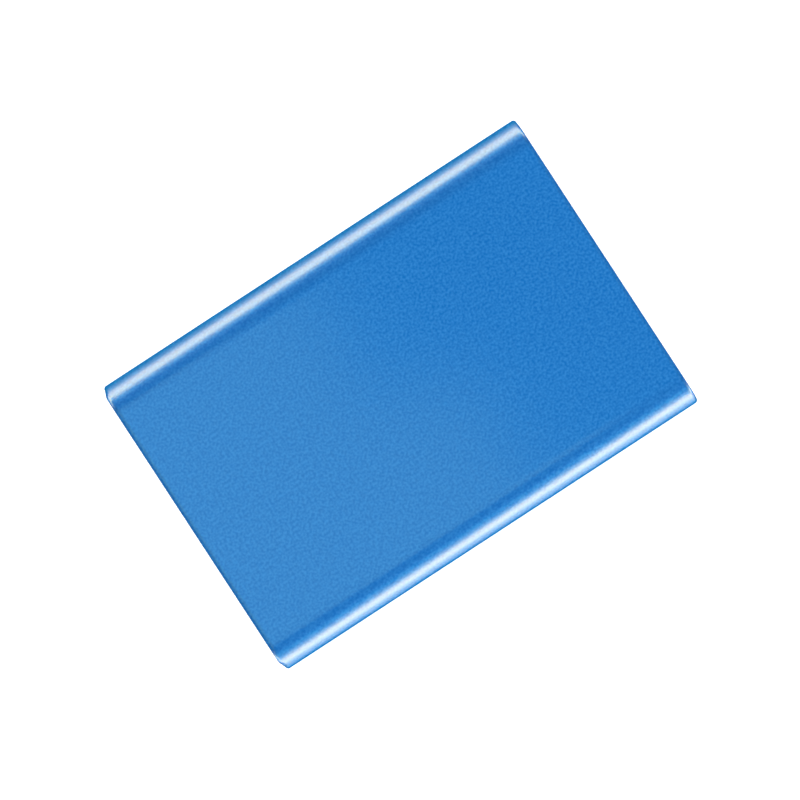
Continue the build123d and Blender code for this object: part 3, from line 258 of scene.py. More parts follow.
# %% Lay the table
TABLE_REACH = 4
table_top = bmesh.new()
bmesh.ops.create_grid(table_top, x_segments=1, y_segments=1, size=TABLE_REACH)
floor = bpy.data.objects.new("floor", bpy.data.meshes.new("floor"))
table_top.to_mesh(floor.data)
table_top.free()
bpy.context.collection.objects.link(floor)
floor.visible_glossy = False
floor.visible_diffuse = False
print("table", [round(side, 1) for side in floor.dimensions], "m")

# %% [markdown]
# ## Shared surface effects
# Many finishes on a drive are the same few marks at different sizes: blasted or cast grain, marks
# from a lathe, stacked layers, the spark texture of a mould, and tracks on a board. Each one is
# made once here as a node group that puts out a mask and a height. A finish then places the group
# with its own sizes, so one change mends every piece that shows that mark.

# %% Start a shader group
def start_effect(name, sizes):
    """An empty shader group with these named sizes, which puts out Mask and Height."""
    group = bpy.data.node_groups.new(name, "ShaderNodeTree")
    group.interface.new_socket("Place", in_out="INPUT", socket_type="NodeSocketVector")
    for size, value in sizes.items():
        socket = group.interface.new_socket(size, in_out="INPUT", socket_type="NodeSocketFloat")
        socket.default_value = value
    for result in ("Mask", "Height"):
        group.interface.new_socket(result, in_out="OUTPUT", socket_type="NodeSocketFloat")
    return group, group.nodes.new("NodeGroupInput"), group.nodes.new("NodeGroupOutput")


def put_out(group, end, mask, height):
    """Joins the finished mask and height to the group's way out."""
    group.links.new(mask, end.inputs["Mask"])
    group.links.new(height, end.inputs["Height"])


def spread(tree, value, low, high):
    """Stretches the part of a value between low and high to run from 0 to 1."""
    node = tree.nodes.new("ShaderNodeMapRange")
    node.inputs["From Min"].default_value = low
    node.inputs["From Max"].default_value = high
    tree.links.new(value, node.inputs["Value"])
    return node.outputs["Result"]


print("effect helpers ready")

# %% [markdown]
# Grain is fine noise. Blasted metal, castings, rubber and felt differ only in how fine it is and
# in how much a coarser cloudiness shows through, so both are sizes of the group. Noise keeps near
# its middle, so the part that it uses is spread out to make a full mask.

# %% Grain
FINE_DETAIL, CLOUD_DETAIL = 0.6, 2.0
FINE_RANGE, CLOUD_RANGE = (0.28, 0.72), (0.25, 0.75)


def make_grain():
    """Fine noise with a share of coarser clouds."""
    sizes = {"Fineness": 2500, "Cloud fineness": 60, "Cloud": 0.2}
    group, start, end = start_effect("grain", sizes)
    fine = group.nodes.new("ShaderNodeTexNoise")
    fine.inputs["Detail"].default_value = FINE_DETAIL
    cloud = group.nodes.new("ShaderNodeTexNoise")
    cloud.inputs["Detail"].default_value = CLOUD_DETAIL
    for noise, size in ((fine, "Fineness"), (cloud, "Cloud fineness")):
        group.links.new(start.outputs["Place"], noise.inputs["Vector"])
        group.links.new(start.outputs[size], noise.inputs["Scale"])
    blend = group.nodes.new("ShaderNodeMix")
    group.links.new(start.outputs["Cloud"], blend.inputs["Factor"])
    group.links.new(spread(group, fine.outputs["Fac"], *FINE_RANGE), blend.inputs["A"])
    group.links.new(spread(group, cloud.outputs["Fac"], *CLOUD_RANGE), blend.inputs["B"])
    put_out(group, end, blend.outputs["Result"], fine.outputs["Fac"])
    return group


grain = make_grain()
print("effect:", grain.name)

# %% [markdown]
# A lathe leaves rings round the axis, and a stack of sheets or turns of wire leaves bands along it.
# The wave texture draws both; only its type differs.

# %% Lathe rings and stacked layers
WAVE_DETAIL, WAVE_DETAIL_SCALE = 1.0, 0.2


def make_waves(name, kind):
    """Rings round the Z axis, or layers along it."""
    group, start, end = start_effect(name, {"Fineness": 2000, "Wander": 0.6})
    wave = group.nodes.new("ShaderNodeTexWave")
    wave.wave_type = kind
    wave.rings_direction = "Z"
    wave.bands_direction = "Z"
    wave.inputs["Detail"].default_value = WAVE_DETAIL
    wave.inputs["Detail Scale"].default_value = WAVE_DETAIL_SCALE
    group.links.new(start.outputs["Place"], wave.inputs["Vector"])
    group.links.new(start.outputs["Fineness"], wave.inputs["Scale"])
    group.links.new(start.outputs["Wander"], wave.inputs["Distortion"])
    put_out(group, end, wave.outputs["Fac"], wave.outputs["Fac"])
    return group


rings = make_waves("lathe_rings", "RINGS")
layers = make_waves("stacked_layers", "BANDS")
print("effects:", rings.name, layers.name)

# %% [markdown]
# A mould that was spark eroded gives plastic a leather-like skin of small round pits. Cells stand
# for the pits, and a board's copper tracks are cells too, measured in city blocks.

# %% Moulded skin and board tracks
PIT_RANGE, TRACK_RANGE = (0.1, 0.8), (0.62, 0.66)


def make_cells(name, measure, edge):
    """Cells whose mask rises over this range of distances from their middles."""
    group, start, end = start_effect(name, {"Fineness": 3000})
    cells = group.nodes.new("ShaderNodeTexVoronoi")
    cells.distance = measure
    group.links.new(start.outputs["Place"], cells.inputs["Vector"])
    group.links.new(start.outputs["Fineness"], cells.inputs["Scale"])
    mask = spread(group, cells.outputs["Distance"], *edge)
    put_out(group, end, mask, cells.outputs["Distance"])
    return group


moulded_skin = make_cells("moulded_skin", "EUCLIDEAN", PIT_RANGE)
board_tracks = make_cells("board_tracks", "MANHATTAN", TRACK_RANGE)
print("effects:", moulded_skin.name, board_tracks.name)

# %% [markdown]
# ## Finishes
# A finish takes one effect, two colours, two roughnesses and the depth of its marks. The mask runs
# between the two colours and the two roughnesses, and the height makes the marks catch the light.
# What is the same all over, such as how metallic it is, goes straight onto the shader.

# %% Write a finish
MIDDLE = (0, 0, 0)
EVEN = (1, 1, 1)


def finish(name, effect, sizes, colours, roughness, depth, centre=MIDDLE, stretch=EVEN, **fixed):
    """A material whose colour, roughness and marks follow one shared effect."""
    material = bpy.data.materials.new(name)
    material.use_nodes = True
    tree = material.node_tree
    shader = tree.nodes["Principled BSDF"]
    place = tree.nodes.new("ShaderNodeTexCoord")
    fit = tree.nodes.new("ShaderNodeMapping")
    fit.inputs["Location"].default_value = centre
    fit.inputs["Scale"].default_value = stretch
    marks = tree.nodes.new("ShaderNodeGroup")
    marks.node_tree = effect
    for size, value in sizes.items():
        marks.inputs[size].default_value = value
    colour = tree.nodes.new("ShaderNodeMix")
    colour.data_type = "RGBA"
    colour.inputs["A"].default_value = (*colours[0], 1)
    colour.inputs["B"].default_value = (*colours[1], 1)
    dullness = tree.nodes.new("ShaderNodeMapRange")
    dullness.inputs["To Min"].default_value = roughness[0]
    dullness.inputs["To Max"].default_value = roughness[1]
    bump = tree.nodes.new("ShaderNodeBump")
    bump.inputs["Distance"].default_value = depth
    tree.links.new(place.outputs["Object"], fit.inputs["Vector"])
    tree.links.new(fit.outputs["Vector"], marks.inputs["Place"])
    tree.links.new(marks.outputs["Mask"], colour.inputs["Factor"])
    tree.links.new(marks.outputs["Mask"], dullness.inputs["Value"])
    tree.links.new(marks.outputs["Height"], bump.inputs["Height"])
    tree.links.new(colour.outputs["Result"], shader.inputs["Base Color"])
    tree.links.new(dullness.outputs["Result"], shader.inputs["Roughness"])
    tree.links.new(bump.outputs["Normal"], shader.inputs["Normal"])
    for socket, value in fixed.items():
        shader.inputs[socket.replace("_", " ")].default_value = value
    return material


finishes = {}
print("finish helper ready")

# %% [markdown]
# The sleeve is aluminium, blasted with fine beads and then dyed blue. The dye sits in a clear skin
# of oxide, so its colour shows like paint while the skin mirrors the lamps. A metallic shader would
# turn the white streaks blue, so this one is not metallic. The dye still shines through a streak,
# so the skin mirrors in a warm tint, and the two add up to white.

# %% Blue blasted aluminium
OXIDE_IOR = 1.45
WARM_MIRROR = (1.0, 0.82, 0.10, 1)
blue = finish(
    "blue_aluminium",
    grain,
    sizes={"Fineness": 1700, "Cloud fineness": 40, "Cloud": 0.04},
    colours=((0.0, 0.133, 0.463), (0.016, 0.200, 0.560)),
    roughness=(0.22, 0.25),
    depth=0.0045 * MM,
    IOR=OXIDE_IOR,
    Specular_Tint=WARM_MIRROR,
)
finishes["blue_aluminium"] = blue
print("finish:", list(finishes))

# %% [markdown]
# The blue is not the same all over. It is darker along the cut ends, the rear one most: painted
# shade, as the rounded ends tilt away from the lamps. It is darker along the line where the flat
# top rolls over into the rounded sides: painted shade, the dark gap between lamps that the
# shoulders would mirror. Further down those sides, where the white streaks lie, it is paler and
# greener: painted highlight colour. Each place is a band between distances from the middle of the
# piece, read from its Object coordinates, so it stays put whatever the view.

# %% Bands of painted shade and painted highlight colour on the blue
def times(tree, one, other):
    """The product of two values."""
    node = tree.nodes.new("ShaderNodeMath")
    node.operation = "MULTIPLY"
    tree.links.new(one, node.inputs[0])
    tree.links.new(other, node.inputs[1])
    return node.outputs["Value"]


def band(tree, axis, start, full, fade, stop, rear_only=False):
    """A mask that rises from start to full and falls from fade to stop, out from the middle."""
    place = tree.nodes.new("ShaderNodeTexCoord")
    axes = tree.nodes.new("ShaderNodeSeparateXYZ")
    away = tree.nodes.new("ShaderNodeMath")
    away.operation = "MULTIPLY" if rear_only else "ABSOLUTE"
    away.inputs[1].default_value = -1
    tree.links.new(place.outputs["Object"], axes.inputs["Vector"])
    tree.links.new(axes.outputs[axis], away.inputs[0])
    rising = spread(tree, away.outputs["Value"], start * MM, full * MM)
    falling = spread(tree, away.outputs["Value"], stop * MM, fade * MM)
    return times(tree, rising, falling)


def paint_light_and_shade(material, mask, tint):
    """Multiplies a finish's colour by a tint where the mask is full, to paint shade with a darker
    tint and highlight colour with a paler one.
    """
    tree = material.node_tree
    base = tree.nodes["Principled BSDF"].inputs["Base Color"]
    plain_colour = base.links[0].from_socket
    shaded = tree.nodes.new("ShaderNodeMix")
    shaded.data_type = "RGBA"
    shaded.blend_type = "MULTIPLY"
    shaded.inputs["B"].default_value = (*tint, 1)
    tree.links.new(mask, shaded.inputs["Factor"])
    tree.links.new(plain_colour, shaded.inputs["A"])
    tree.links.new(shaded.outputs["Result"], base)


# Each band gives where it starts, is full, begins to fade and stops, in mm from the middle.
# Painted shade along both cut ends, where their rounds tilt away from the lamps; the rear end gets
# more.
ENDS_PAINTED_SHADE, ENDS_PAINTED_SHADE_TINT = (55.4, 56.0, 60.0, 61.0), (0.84, 0.87, 0.88)
REAR_PAINTED_SHADE, REAR_PAINTED_SHADE_TINT = (55.1, 55.7, 60.0, 61.0), (0.9, 0.9, 0.87)
# The painted shade of the ends stops short of the rounded sides.
BETWEEN_SIDES = (-2.0, -1.0, 33.0, 35.5)
# Down the sides: painted shade along the shoulder line, then paler, greener blue under the white
# streaks, which is painted highlight colour.
SIDE_PAINTED_SHADE_AND_HIGHLIGHT = {
    (31.0, 32.6, 33.2, 34.4): (0.7, 0.87, 0.91),
    (33.9, 34.6, 35.4, 36.2): (1.0, 1.22, 1.08),
    (36.6, 37.2, 40.0, 41.0): (1.0, 1.14, 0.95),
}

dye = blue.node_tree
# Painted shade along the ends, more at the rear, then painted shade and highlight colour down the
# sides.
between_sides = band(dye, "Y", *BETWEEN_SIDES)
paint_light_and_shade(blue, times(dye, band(dye, "X", *ENDS_PAINTED_SHADE), between_sides), ENDS_PAINTED_SHADE_TINT)
rear_painted_shade = band(dye, "X", *REAR_PAINTED_SHADE, rear_only=True)
paint_light_and_shade(blue, times(dye, rear_painted_shade, between_sides), REAR_PAINTED_SHADE_TINT)
for edges, tint in SIDE_PAINTED_SHADE_AND_HIGHLIGHT.items():
    paint_light_and_shade(blue, band(dye, "Y", *edges), tint)
print("bands of blue:", 2 + len(SIDE_PAINTED_SHADE_AND_HIGHLIGHT))

# %% [markdown]
# Seen from low down, any clear skin turns into a mirror, and the bright bands would wash the whole
# top out to white. Blasted metal does not: its tiny pits hide each other at low angles. The shader
# has no pits, so its mirror strength is turned down where the surface faces away from the viewer.

# %% Calm the mirror at low angles
FULL_MIRROR = 0.5
FADE_POWER = 3.0
STILL_FULL, ALL_GONE = 0.30, 0.70


def calm(material):
    """Fades a finish's mirroring as it faces away, fast at first and then slowly."""
    tree = material.node_tree
    facing = tree.nodes.new("ShaderNodeLayerWeight")
    strength = spread(tree, facing.outputs["Facing"], ALL_GONE, STILL_FULL)
    for operation, value in (("POWER", FADE_POWER), ("MULTIPLY", FULL_MIRROR)):
        change = tree.nodes.new("ShaderNodeMath")
        change.operation = operation
        change.inputs[1].default_value = value
        tree.links.new(strength, change.inputs[0])
        strength = change.outputs["Value"]
    tree.links.new(strength, tree.nodes["Principled BSDF"].inputs["Specular IOR Level"])


calm(blue)
print("mirroring fades at low angles")

# %% [markdown]
# The plastics, rubber, felt, foam and boards are not metallic. They differ in colour and in the
# size of their skin, so a table holds what differs and one loop writes them. The bands beside the
# drive are very bright and would turn black plastic grey, so these finishes mirror little.

# %% Plastics, soft pieces and boards
DULL_MIRROR = 0.05
# Each row: fineness, depth of the marks in mm, range of roughness, darker and paler colour.
MOULDED = {
    "cap_plastic": (3500, 0.02, (0.42, 0.58), (0.010, 0.011, 0.012), (0.020, 0.021, 0.023)),
    "connector_plastic": (5000, 0.01, (0.35, 0.5), (0.012, 0.012, 0.013), (0.022, 0.022, 0.024)),
    "ramp_plastic": (6000, 0.006, (0.32, 0.45), (0.62, 0.58, 0.48), (0.74, 0.70, 0.60)),
    "foam": (1800, 0.15, (0.85, 0.95), (0.020, 0.020, 0.022), (0.075, 0.075, 0.080)),
}
GRAINED = {
    "chip_black": (9000, 0.008, (0.5, 0.65), (0.014, 0.014, 0.015), (0.030, 0.030, 0.032)),
    "capacitor_ceramic": (8000, 0.006, (0.4, 0.55), (0.33, 0.22, 0.13), (0.42, 0.29, 0.18)),
    "lamp_white": (6000, 0.004, (0.3, 0.4), (0.78, 0.77, 0.70), (0.88, 0.87, 0.82)),
    "gasket_rubber": (4000, 0.02, (0.7, 0.85), (0.012, 0.012, 0.012), (0.026, 0.026, 0.026)),
    "filter_felt": (5000, 0.08, (0.85, 0.95), (0.62, 0.61, 0.57), (0.85, 0.84, 0.80)),
    "slider_ceramic": (12000, 0.002, (0.2, 0.3), (0.020, 0.020, 0.022), (0.050, 0.050, 0.055)),
}
TRACKED = {
    "flex_film": (900, 0.01, (0.25, 0.4), (0.33, 0.13, 0.012), (0.52, 0.24, 0.035)),
    "circuit_board": (500, 0.015, (0.28, 0.42), (0.004, 0.060, 0.022), (0.012, 0.115, 0.045)),
}


def finish_all(effect, table, **settings):
    """Writes every finish of a table with one effect."""
    for name, (fineness, depth, roughness, dark, pale) in table.items():
        sizes = {"Fineness": fineness}
        colours = (dark, pale)
        finishes[name] = finish(name, effect, sizes, colours, roughness, depth * MM, **settings)


for effect, table in ((moulded_skin, MOULDED), (grain, GRAINED), (board_tracks, TRACKED)):
    finish_all(effect, table, Specular_IOR_Level=DULL_MIRROR)
print("finishes so far:", len(finishes))

# %% [markdown]
# The light pipe is clear plastic, which lets most of the light through. Light bends in it, so it
# has a refractive index of its own, as the blue skin has.

# %% Clear plastic
CLEAR_IOR = 1.49
CLEARNESS = 0.85
CLEAR = {"clear_plastic": (3000, 0.004, (0.12, 0.22), (0.86, 0.88, 0.90), (0.96, 0.97, 0.98))}
finish_all(grain, CLEAR, Transmission_Weight=CLEARNESS, IOR=CLEAR_IOR)
print("finish:", *CLEAR)

# %% [markdown]
# The metals show how they were worked. Castings and plating have plain grain. Rolled sheet has long
# fine scratches, which are grain stretched along one axis, and a ground shaft has them lengthwise.
# Turned pieces have rings round the axis of the lathe, and stacked sheets and wound wire have
# layers. The mapping centres the rings on the spindle.

# %% Metals
hub_low, hub_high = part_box("spindle_hub")
spindle = (hub_low + hub_high) / 2
to_spindle = (-spindle.x, -spindle.y, 0)
ALONG_X, ALONG_Z = (0.04, 1, 1), (1, 1, 0.05)
CAST = {
    "screw_steel": (6000, 0.004, (0.3, 0.42), (0.10, 0.10, 0.11), (0.19, 0.19, 0.20)),
    "cast_aluminium": (2200, 0.02, (0.42, 0.58), (0.42, 0.43, 0.44), (0.58, 0.59, 0.60)),
    "magnet_nickel": (7000, 0.003, (0.25, 0.38), (0.50, 0.48, 0.44), (0.62, 0.60, 0.56)),
    "yoke_steel": (4000, 0.006, (0.32, 0.46), (0.46, 0.45, 0.43), (0.58, 0.57, 0.55)),
}
ROLLED = {
    "socket_steel": (9000, 0.002, (0.2, 0.32), (0.52, 0.52, 0.53), (0.66, 0.66, 0.67)),
    "contact_gold": (9000, 0.001, (0.18, 0.3), (0.72, 0.46, 0.14), (0.86, 0.58, 0.20)),
    "crystal_can": (9000, 0.002, (0.22, 0.34), (0.55, 0.54, 0.52), (0.70, 0.69, 0.67)),
    "cover_steel": (7000, 0.003, (0.28, 0.4), (0.50, 0.50, 0.51), (0.64, 0.64, 0.65)),
    "arm_aluminium": (5000, 0.004, (0.28, 0.4), (0.58, 0.59, 0.60), (0.70, 0.71, 0.72)),
    "spring_steel": (9000, 0.001, (0.18, 0.28), (0.55, 0.55, 0.56), (0.68, 0.68, 0.69)),
}
GROUND = {"bearing_steel": (9000, 0.001, (0.16, 0.26), (0.55, 0.55, 0.56), (0.66, 0.66, 0.67))}
TURNED = {
    "turned_aluminium": (1600, 0.003, (0.2, 0.32), (0.60, 0.61, 0.62), (0.72, 0.73, 0.74)),
    "disc_mirror": (700, 0.0002, (0.03, 0.06), (0.70, 0.70, 0.71), (0.76, 0.76, 0.77)),
}
LAYERED = {
    "stator_steel": (1000, 0.01, (0.35, 0.5), (0.14, 0.14, 0.15), (0.30, 0.30, 0.31)),
    "copper_wire": (1600, 0.03, (0.25, 0.38), (0.42, 0.14, 0.05), (0.66, 0.27, 0.11)),
}
finish_all(grain, CAST, Metallic=1.0)
finish_all(grain, ROLLED, stretch=ALONG_X, Metallic=1.0)
finish_all(grain, GROUND, stretch=ALONG_Z, Metallic=1.0)
finish_all(rings, TURNED, centre=to_spindle, Metallic=1.0)
finish_all(layers, LAYERED, centre=to_spindle, Metallic=1.0)
print("finishes:", len(finishes), "missing:", sorted(set(slot_of.values()) - set(finishes)))

# %% [markdown]
# The castings, discs, arms and boards keep their CAD shape and only need a finish. The record names
# a slot for every solid, and the finishes above are named after the slots, so one loop dresses all.

# %% Dress the solids
for name, solid in solids.items():
    solid.data.materials.clear()
    solid.data.materials.append(finishes[slot_of[name]])
print("dressed", len(solids), "solids")

# %% [markdown]
# ## Helpers for new pieces
# A node tree works on a sketch: a mesh of points and lines with a number on each point that says
# what it is. The tree is run once and its result becomes a plain mesh, which rides on a body of the
# model and stands for the solids it replaces.

# %% Sketches and node trees
SHARP = math.radians(35)


def sketch(name, points, lines, **marks):
    """Points and lines with whole-number marks on the points, for a node tree to work on."""
    mesh = bpy.data.meshes.new(name)
    mesh.from_pydata(points, lines, [])
    for mark, values in marks.items():
        mesh.attributes.new(mark, "INT", "POINT").data.foreach_set("value", values)
    return mesh


def start_tree(name, sizes, counts=()):
    """A node tree with named inputs for its sizes, its counts and its finish."""
    tree = bpy.data.node_groups.new(name, "GeometryNodeTree")
    tree.interface.new_socket("Geometry", in_out="INPUT", socket_type="NodeSocketGeometry")
    for size in sizes:
        tree.interface.new_socket(size, in_out="INPUT", socket_type="NodeSocketFloat")
    for count in counts:
        tree.interface.new_socket(count, in_out="INPUT", socket_type="NodeSocketInt")
    tree.interface.new_socket("Finish", in_out="INPUT", socket_type="NodeSocketMaterial")
    tree.interface.new_socket("Geometry", in_out="OUTPUT", socket_type="NodeSocketGeometry")
    return tree, tree.nodes.new("NodeGroupInput").outputs


def step(tree, kind, wires, **settings):
    """One node of a tree. A wire is a socket to link from, or a plain value to set."""
    node = tree.nodes.new(kind)
    for setting, value in settings.items():
        setattr(node, setting, value)
    for socket, value in wires.items():
        if isinstance(value, bpy.types.NodeSocket):
            tree.links.new(value, node.inputs[socket])
        else:
            node.inputs[socket].default_value = value
    return node.outputs


def end_tree(tree, given, shape):
    """Makes the shape real, smooth except at sharp edges, and puts it out with its finish."""
    bend = step(tree, "GeometryNodeInputMeshEdgeAngle", {})["Unsigned Angle"]
    wires = {"A": bend, "B": SHARP}
    sharp = step(tree, "FunctionNodeCompare", wires, operation="GREATER_THAN")["Result"]
    real = step(tree, "GeometryNodeRealizeInstances", {"Geometry": shape})["Geometry"]
    smooth = step(tree, "GeometryNodeSetShadeSmooth", {"Geometry": real})["Geometry"]
    wires = {"Geometry": smooth, "Selection": sharp, "Shade Smooth": False}
    crisp = step(tree, "GeometryNodeSetShadeSmooth", wires, domain="EDGE")["Geometry"]
    wires = {"Geometry": crisp, "Material": given["Finish"]}
    painted = step(tree, "GeometryNodeSetMaterial", wires)["Geometry"]
    step(tree, "NodeGroupOutput", {"Geometry": painted})


print("sketch and tree helpers ready")

# %% [markdown]
# The trees below share a few steps, such as a sum, a rounded corner or a weld. Each gets a short
# name here, so that a tree reads like the order of work at a bench.

# %% Steps that the trees share
WELD = 1e-6


def work(tree, operation, *values):
    """One sum of a tree."""
    return step(tree, "ShaderNodeMath", dict(enumerate(values)), operation=operation)["Value"]


def arrow(tree, **lengths):
    """A vector from its lengths along X, Y and Z."""
    return step(tree, "ShaderNodeCombineXYZ", lengths)["Vector"]


def read_mark(tree, name):
    """The whole-number mark of each point."""
    wires = {"Name": name}
    return step(tree, "GeometryNodeInputNamedAttribute", wires, data_type="INT")["Attribute"]


def part_by_mark(tree, shape, name):
    """The points of a sketch that have a mark, and the rest."""
    wires = {"Geometry": shape, "Selection": read_mark(tree, name)}
    parts = step(tree, "GeometryNodeSeparateGeometry", wires)
    return parts["Selection"], parts["Inverted"]


def round_off(tree, curve, radius, count):
    """A curve with its corners rounded in this many steps."""
    wires = {"Curve": curve, "Radius": radius, "Count": count}
    return step(tree, "GeometryNodeFilletCurve", wires, mode="POLY")["Curve"]


def sweep(tree, path, outline):
    """The skin that an outline leaves along a path."""
    wires = {"Curve": path, "Profile Curve": outline}
    return step(tree, "GeometryNodeCurveToMesh", wires)["Mesh"]


def fill(tree, curve, mode="NGONS"):
    """The flat face inside a curve."""
    return step(tree, "GeometryNodeFillCurve", {"Curve": curve}, mode=mode)["Mesh"]


def flip(tree, mesh):
    """A mesh with its faces turned round."""
    return step(tree, "GeometryNodeFlipFaces", {"Mesh": mesh})["Mesh"]


def join(tree, *parts):
    """Several shapes in one."""
    node = tree.nodes.new("GeometryNodeJoinGeometry")
    for part in parts:
        tree.links.new(part, node.inputs["Geometry"])
    return node.outputs["Geometry"]


def weld(tree, shape, distance=WELD):
    """A shape with its touching points made one."""
    wires = {"Geometry": shape, "Distance": distance}
    return step(tree, "GeometryNodeMergeByDistance", wires)["Geometry"]


print("shared steps ready")

# %% [markdown]
# Running a tree takes three moves: put it on the sketch as a modifier, set its inputs by their
# identifiers, and keep the mesh it gives. The sketch itself is then thrown away.

# %% Run a tree and place a piece
def run_tree(name, base, tree, slot, values):
    """The plain mesh object that a node tree makes of a sketch."""
    worker = bpy.data.objects.new(name + "_sketch", base)
    bpy.context.collection.objects.link(worker)
    modifier = worker.modifiers.new("tree", "NODES")
    modifier.node_group = tree
    values = {**values, "Finish": finishes[slot]}
    for socket in tree.interface.items_tree:
        if socket.in_out == "INPUT" and socket.name in values:
            modifier[socket.identifier] = values[socket.name]
    seen = worker.evaluated_get(bpy.context.evaluated_depsgraph_get())
    piece = bpy.data.objects.new(name, bpy.data.meshes.new_from_object(seen))
    bpy.context.collection.objects.link(piece)
    bpy.data.objects.remove(worker)
    return piece


def place_piece(piece, body, slot, *replaced):
    """Lets a finished piece ride on its body and stand for its solids, and reports on it."""
    piece.data.materials.clear()
    piece.data.materials.append(finishes[slot])
    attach(piece, body)
    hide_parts(*replaced)
    look = bmesh.new()
    look.from_mesh(piece.data)
    open_edges = sum(not edge.is_manifold for edge in look.edges)
    volume = round(look.calc_volume(signed=True) / MM**3, 2)
    print(piece.name, len(look.faces), "faces,", open_edges, "open edges,", volume, "mm3")
    look.free()


body_of = {}
for body, members in frame["record"]["behaviour"]["bodies"].items():
    body_of.update(dict.fromkeys(members, body))
print("bodies:", sorted(set(body_of.values())))

# %% [markdown]
# ## The sleeve
# The sleeve is one extruded tube: flat above and below, with a shoulder arc and a nose arc down
# each long side. It could be a bevelled box, but then one radius would have to do for both arcs.
# Here the six corners of its outline are a sketch, and so is the cut through its wall. The tree
# rounds each corner by its own radius and sweeps the wall round the outline. Extra points beside
# the rounds keep the flat faces flat when they are shaded smooth.

# %% Sizes of the sleeve
SLEEVE_LENGTH, SLEEVE_WIDTH, SLEEVE_HEIGHT = cad_high - cad_low
WALL = 1.2 * MM
NOSE_RADIUS = 5.2 * MM
SHOULDER_RADIUS = 8.35 * MM
SIDE_DEPTH = 7.75 * MM
END_ROUND = 0.8 * MM
INNER_ROUND = 0.1 * MM
# The extra points stand this far from a round.
GUARD = 0.12 * MM
# The nose is rounded a hair less than the CAD nose, and stays a fifth of a hair inside it.
HAIR = 0.02 * MM
INSIDE = HAIR / 5

half_height = SLEEVE_HEIGHT / 2
lean = math.atan2(SIDE_DEPTH - NOSE_RADIUS, SHOULDER_RADIUS - half_height)
flat_half = SLEEVE_WIDTH / 2 - SIDE_DEPTH
shoulder_corner = flat_half + SHOULDER_RADIUS * math.tan(lean / 2)
nose_round = NOSE_RADIUS - HAIR
nose_corner = SLEEVE_WIDTH / 2 - nose_round + nose_round / math.sin(lean) - INSIDE
print("lean of the nose", round(math.degrees(lean), 2), "degrees")

# %% [markdown]
# Every point of the sketch carries two marks: which kind of corner it is, and whether it belongs to
# the cut through the wall. The outline runs round the tube, and the cut runs round the wall, from
# one end of the tube to the other.

# %% Sketch the outline and the wall
CORNER_SIZES = ("Shoulder radius", "Nose radius", "End round", "Inner round")
PLAIN, SHOULDER, NOSE, END_EDGE, INNER_EDGE = range(1 + len(CORNER_SIZES))


def sketch_sleeve():
    """The outline of the sleeve and the cut through its wall."""
    guard_line = flat_half - GUARD
    outline = [
        (-guard_line, -half_height, PLAIN),
        (guard_line, -half_height, PLAIN),
        (shoulder_corner, -half_height, SHOULDER),
        (nose_corner, 0, NOSE),
        (shoulder_corner, half_height, SHOULDER),
        (guard_line, half_height, PLAIN),
        (-guard_line, half_height, PLAIN),
        (-shoulder_corner, half_height, SHOULDER),
        (-nose_corner, 0, NOSE),
        (-shoulder_corner, -half_height, SHOULDER),
    ]
    end = SLEEVE_LENGTH / 2
    outer_guard, inner_guard = end - END_ROUND - GUARD, end - INNER_ROUND - GUARD
    wall_cut = [
        (0, end, END_EDGE),
        (0, outer_guard, PLAIN),
        (0, -outer_guard, PLAIN),
        (0, -end, END_EDGE),
        (-WALL, -end, INNER_EDGE),
        (-WALL, -inner_guard, PLAIN),
        (-WALL, inner_guard, PLAIN),
        (-WALL, end, INNER_EDGE),
    ]
    points, lines, corner, is_wall = [], [], [], []
    for loop, flag in ((outline, 0), (wall_cut, 1)):
        first = len(points)
        for x, y, kind in loop:
            points.append((x, y, 0))
            corner.append(kind)
            is_wall.append(flag)
        lines += [(first + i, first + (i + 1) % len(loop)) for i in range(len(loop))]
    return sketch("sleeve_sketch", points, lines, corner=corner, wall=is_wall)


sleeve_sketch = sketch_sleeve()
print("points in the sketch:", len(sleeve_sketch.vertices))

# %% [markdown]
# The tree parts the two sketches by their `wall` mark, picks each point's radius by its `corner`
# mark, and sweeps. Then it turns the tube so that its length lies along X, and draws each end back
# towards the noses, because the corners are polished off, the rear ones more than the front ones.

# %% Build the sleeve tree
# Points this near to an end are drawn back, from the first distance across to the second.
END_REACH = 2 * MM
DRAW_START, DRAW_FULL = 35.64 * MM, 37.93 * MM
# The outline is drawn lying flat. This stands it up, with the tube along X.
UPRIGHT_ALONG_X = (math.pi / 2, 0, math.pi / 2)


def draw_back(tree, given):
    """How far each point of the turned tube moves along X."""
    place = step(tree, "GeometryNodeInputPosition", {})["Position"]
    axes = step(tree, "ShaderNodeSeparateXYZ", {"Vector": place})
    across = work(tree, "ABSOLUTE", axes["Y"])
    wires = {"Value": across, "From Min": DRAW_START, "From Max": DRAW_FULL}
    ease = {"interpolation_type": "SMOOTHSTEP"}
    near_nose = step(tree, "ShaderNodeMapRange", wires, **ease)["Result"]
    at_rear = work(tree, "LESS_THAN", axes["X"], END_REACH - SLEEVE_LENGTH / 2)
    at_front = work(tree, "GREATER_THAN", axes["X"], SLEEVE_LENGTH / 2 - END_REACH)
    rear_move = work(tree, "MULTIPLY", at_rear, given["Rear draw"])
    front_move = work(tree, "MULTIPLY", at_front, given["Front draw"])
    return work(tree, "MULTIPLY", work(tree, "SUBTRACT", rear_move, front_move), near_nose)


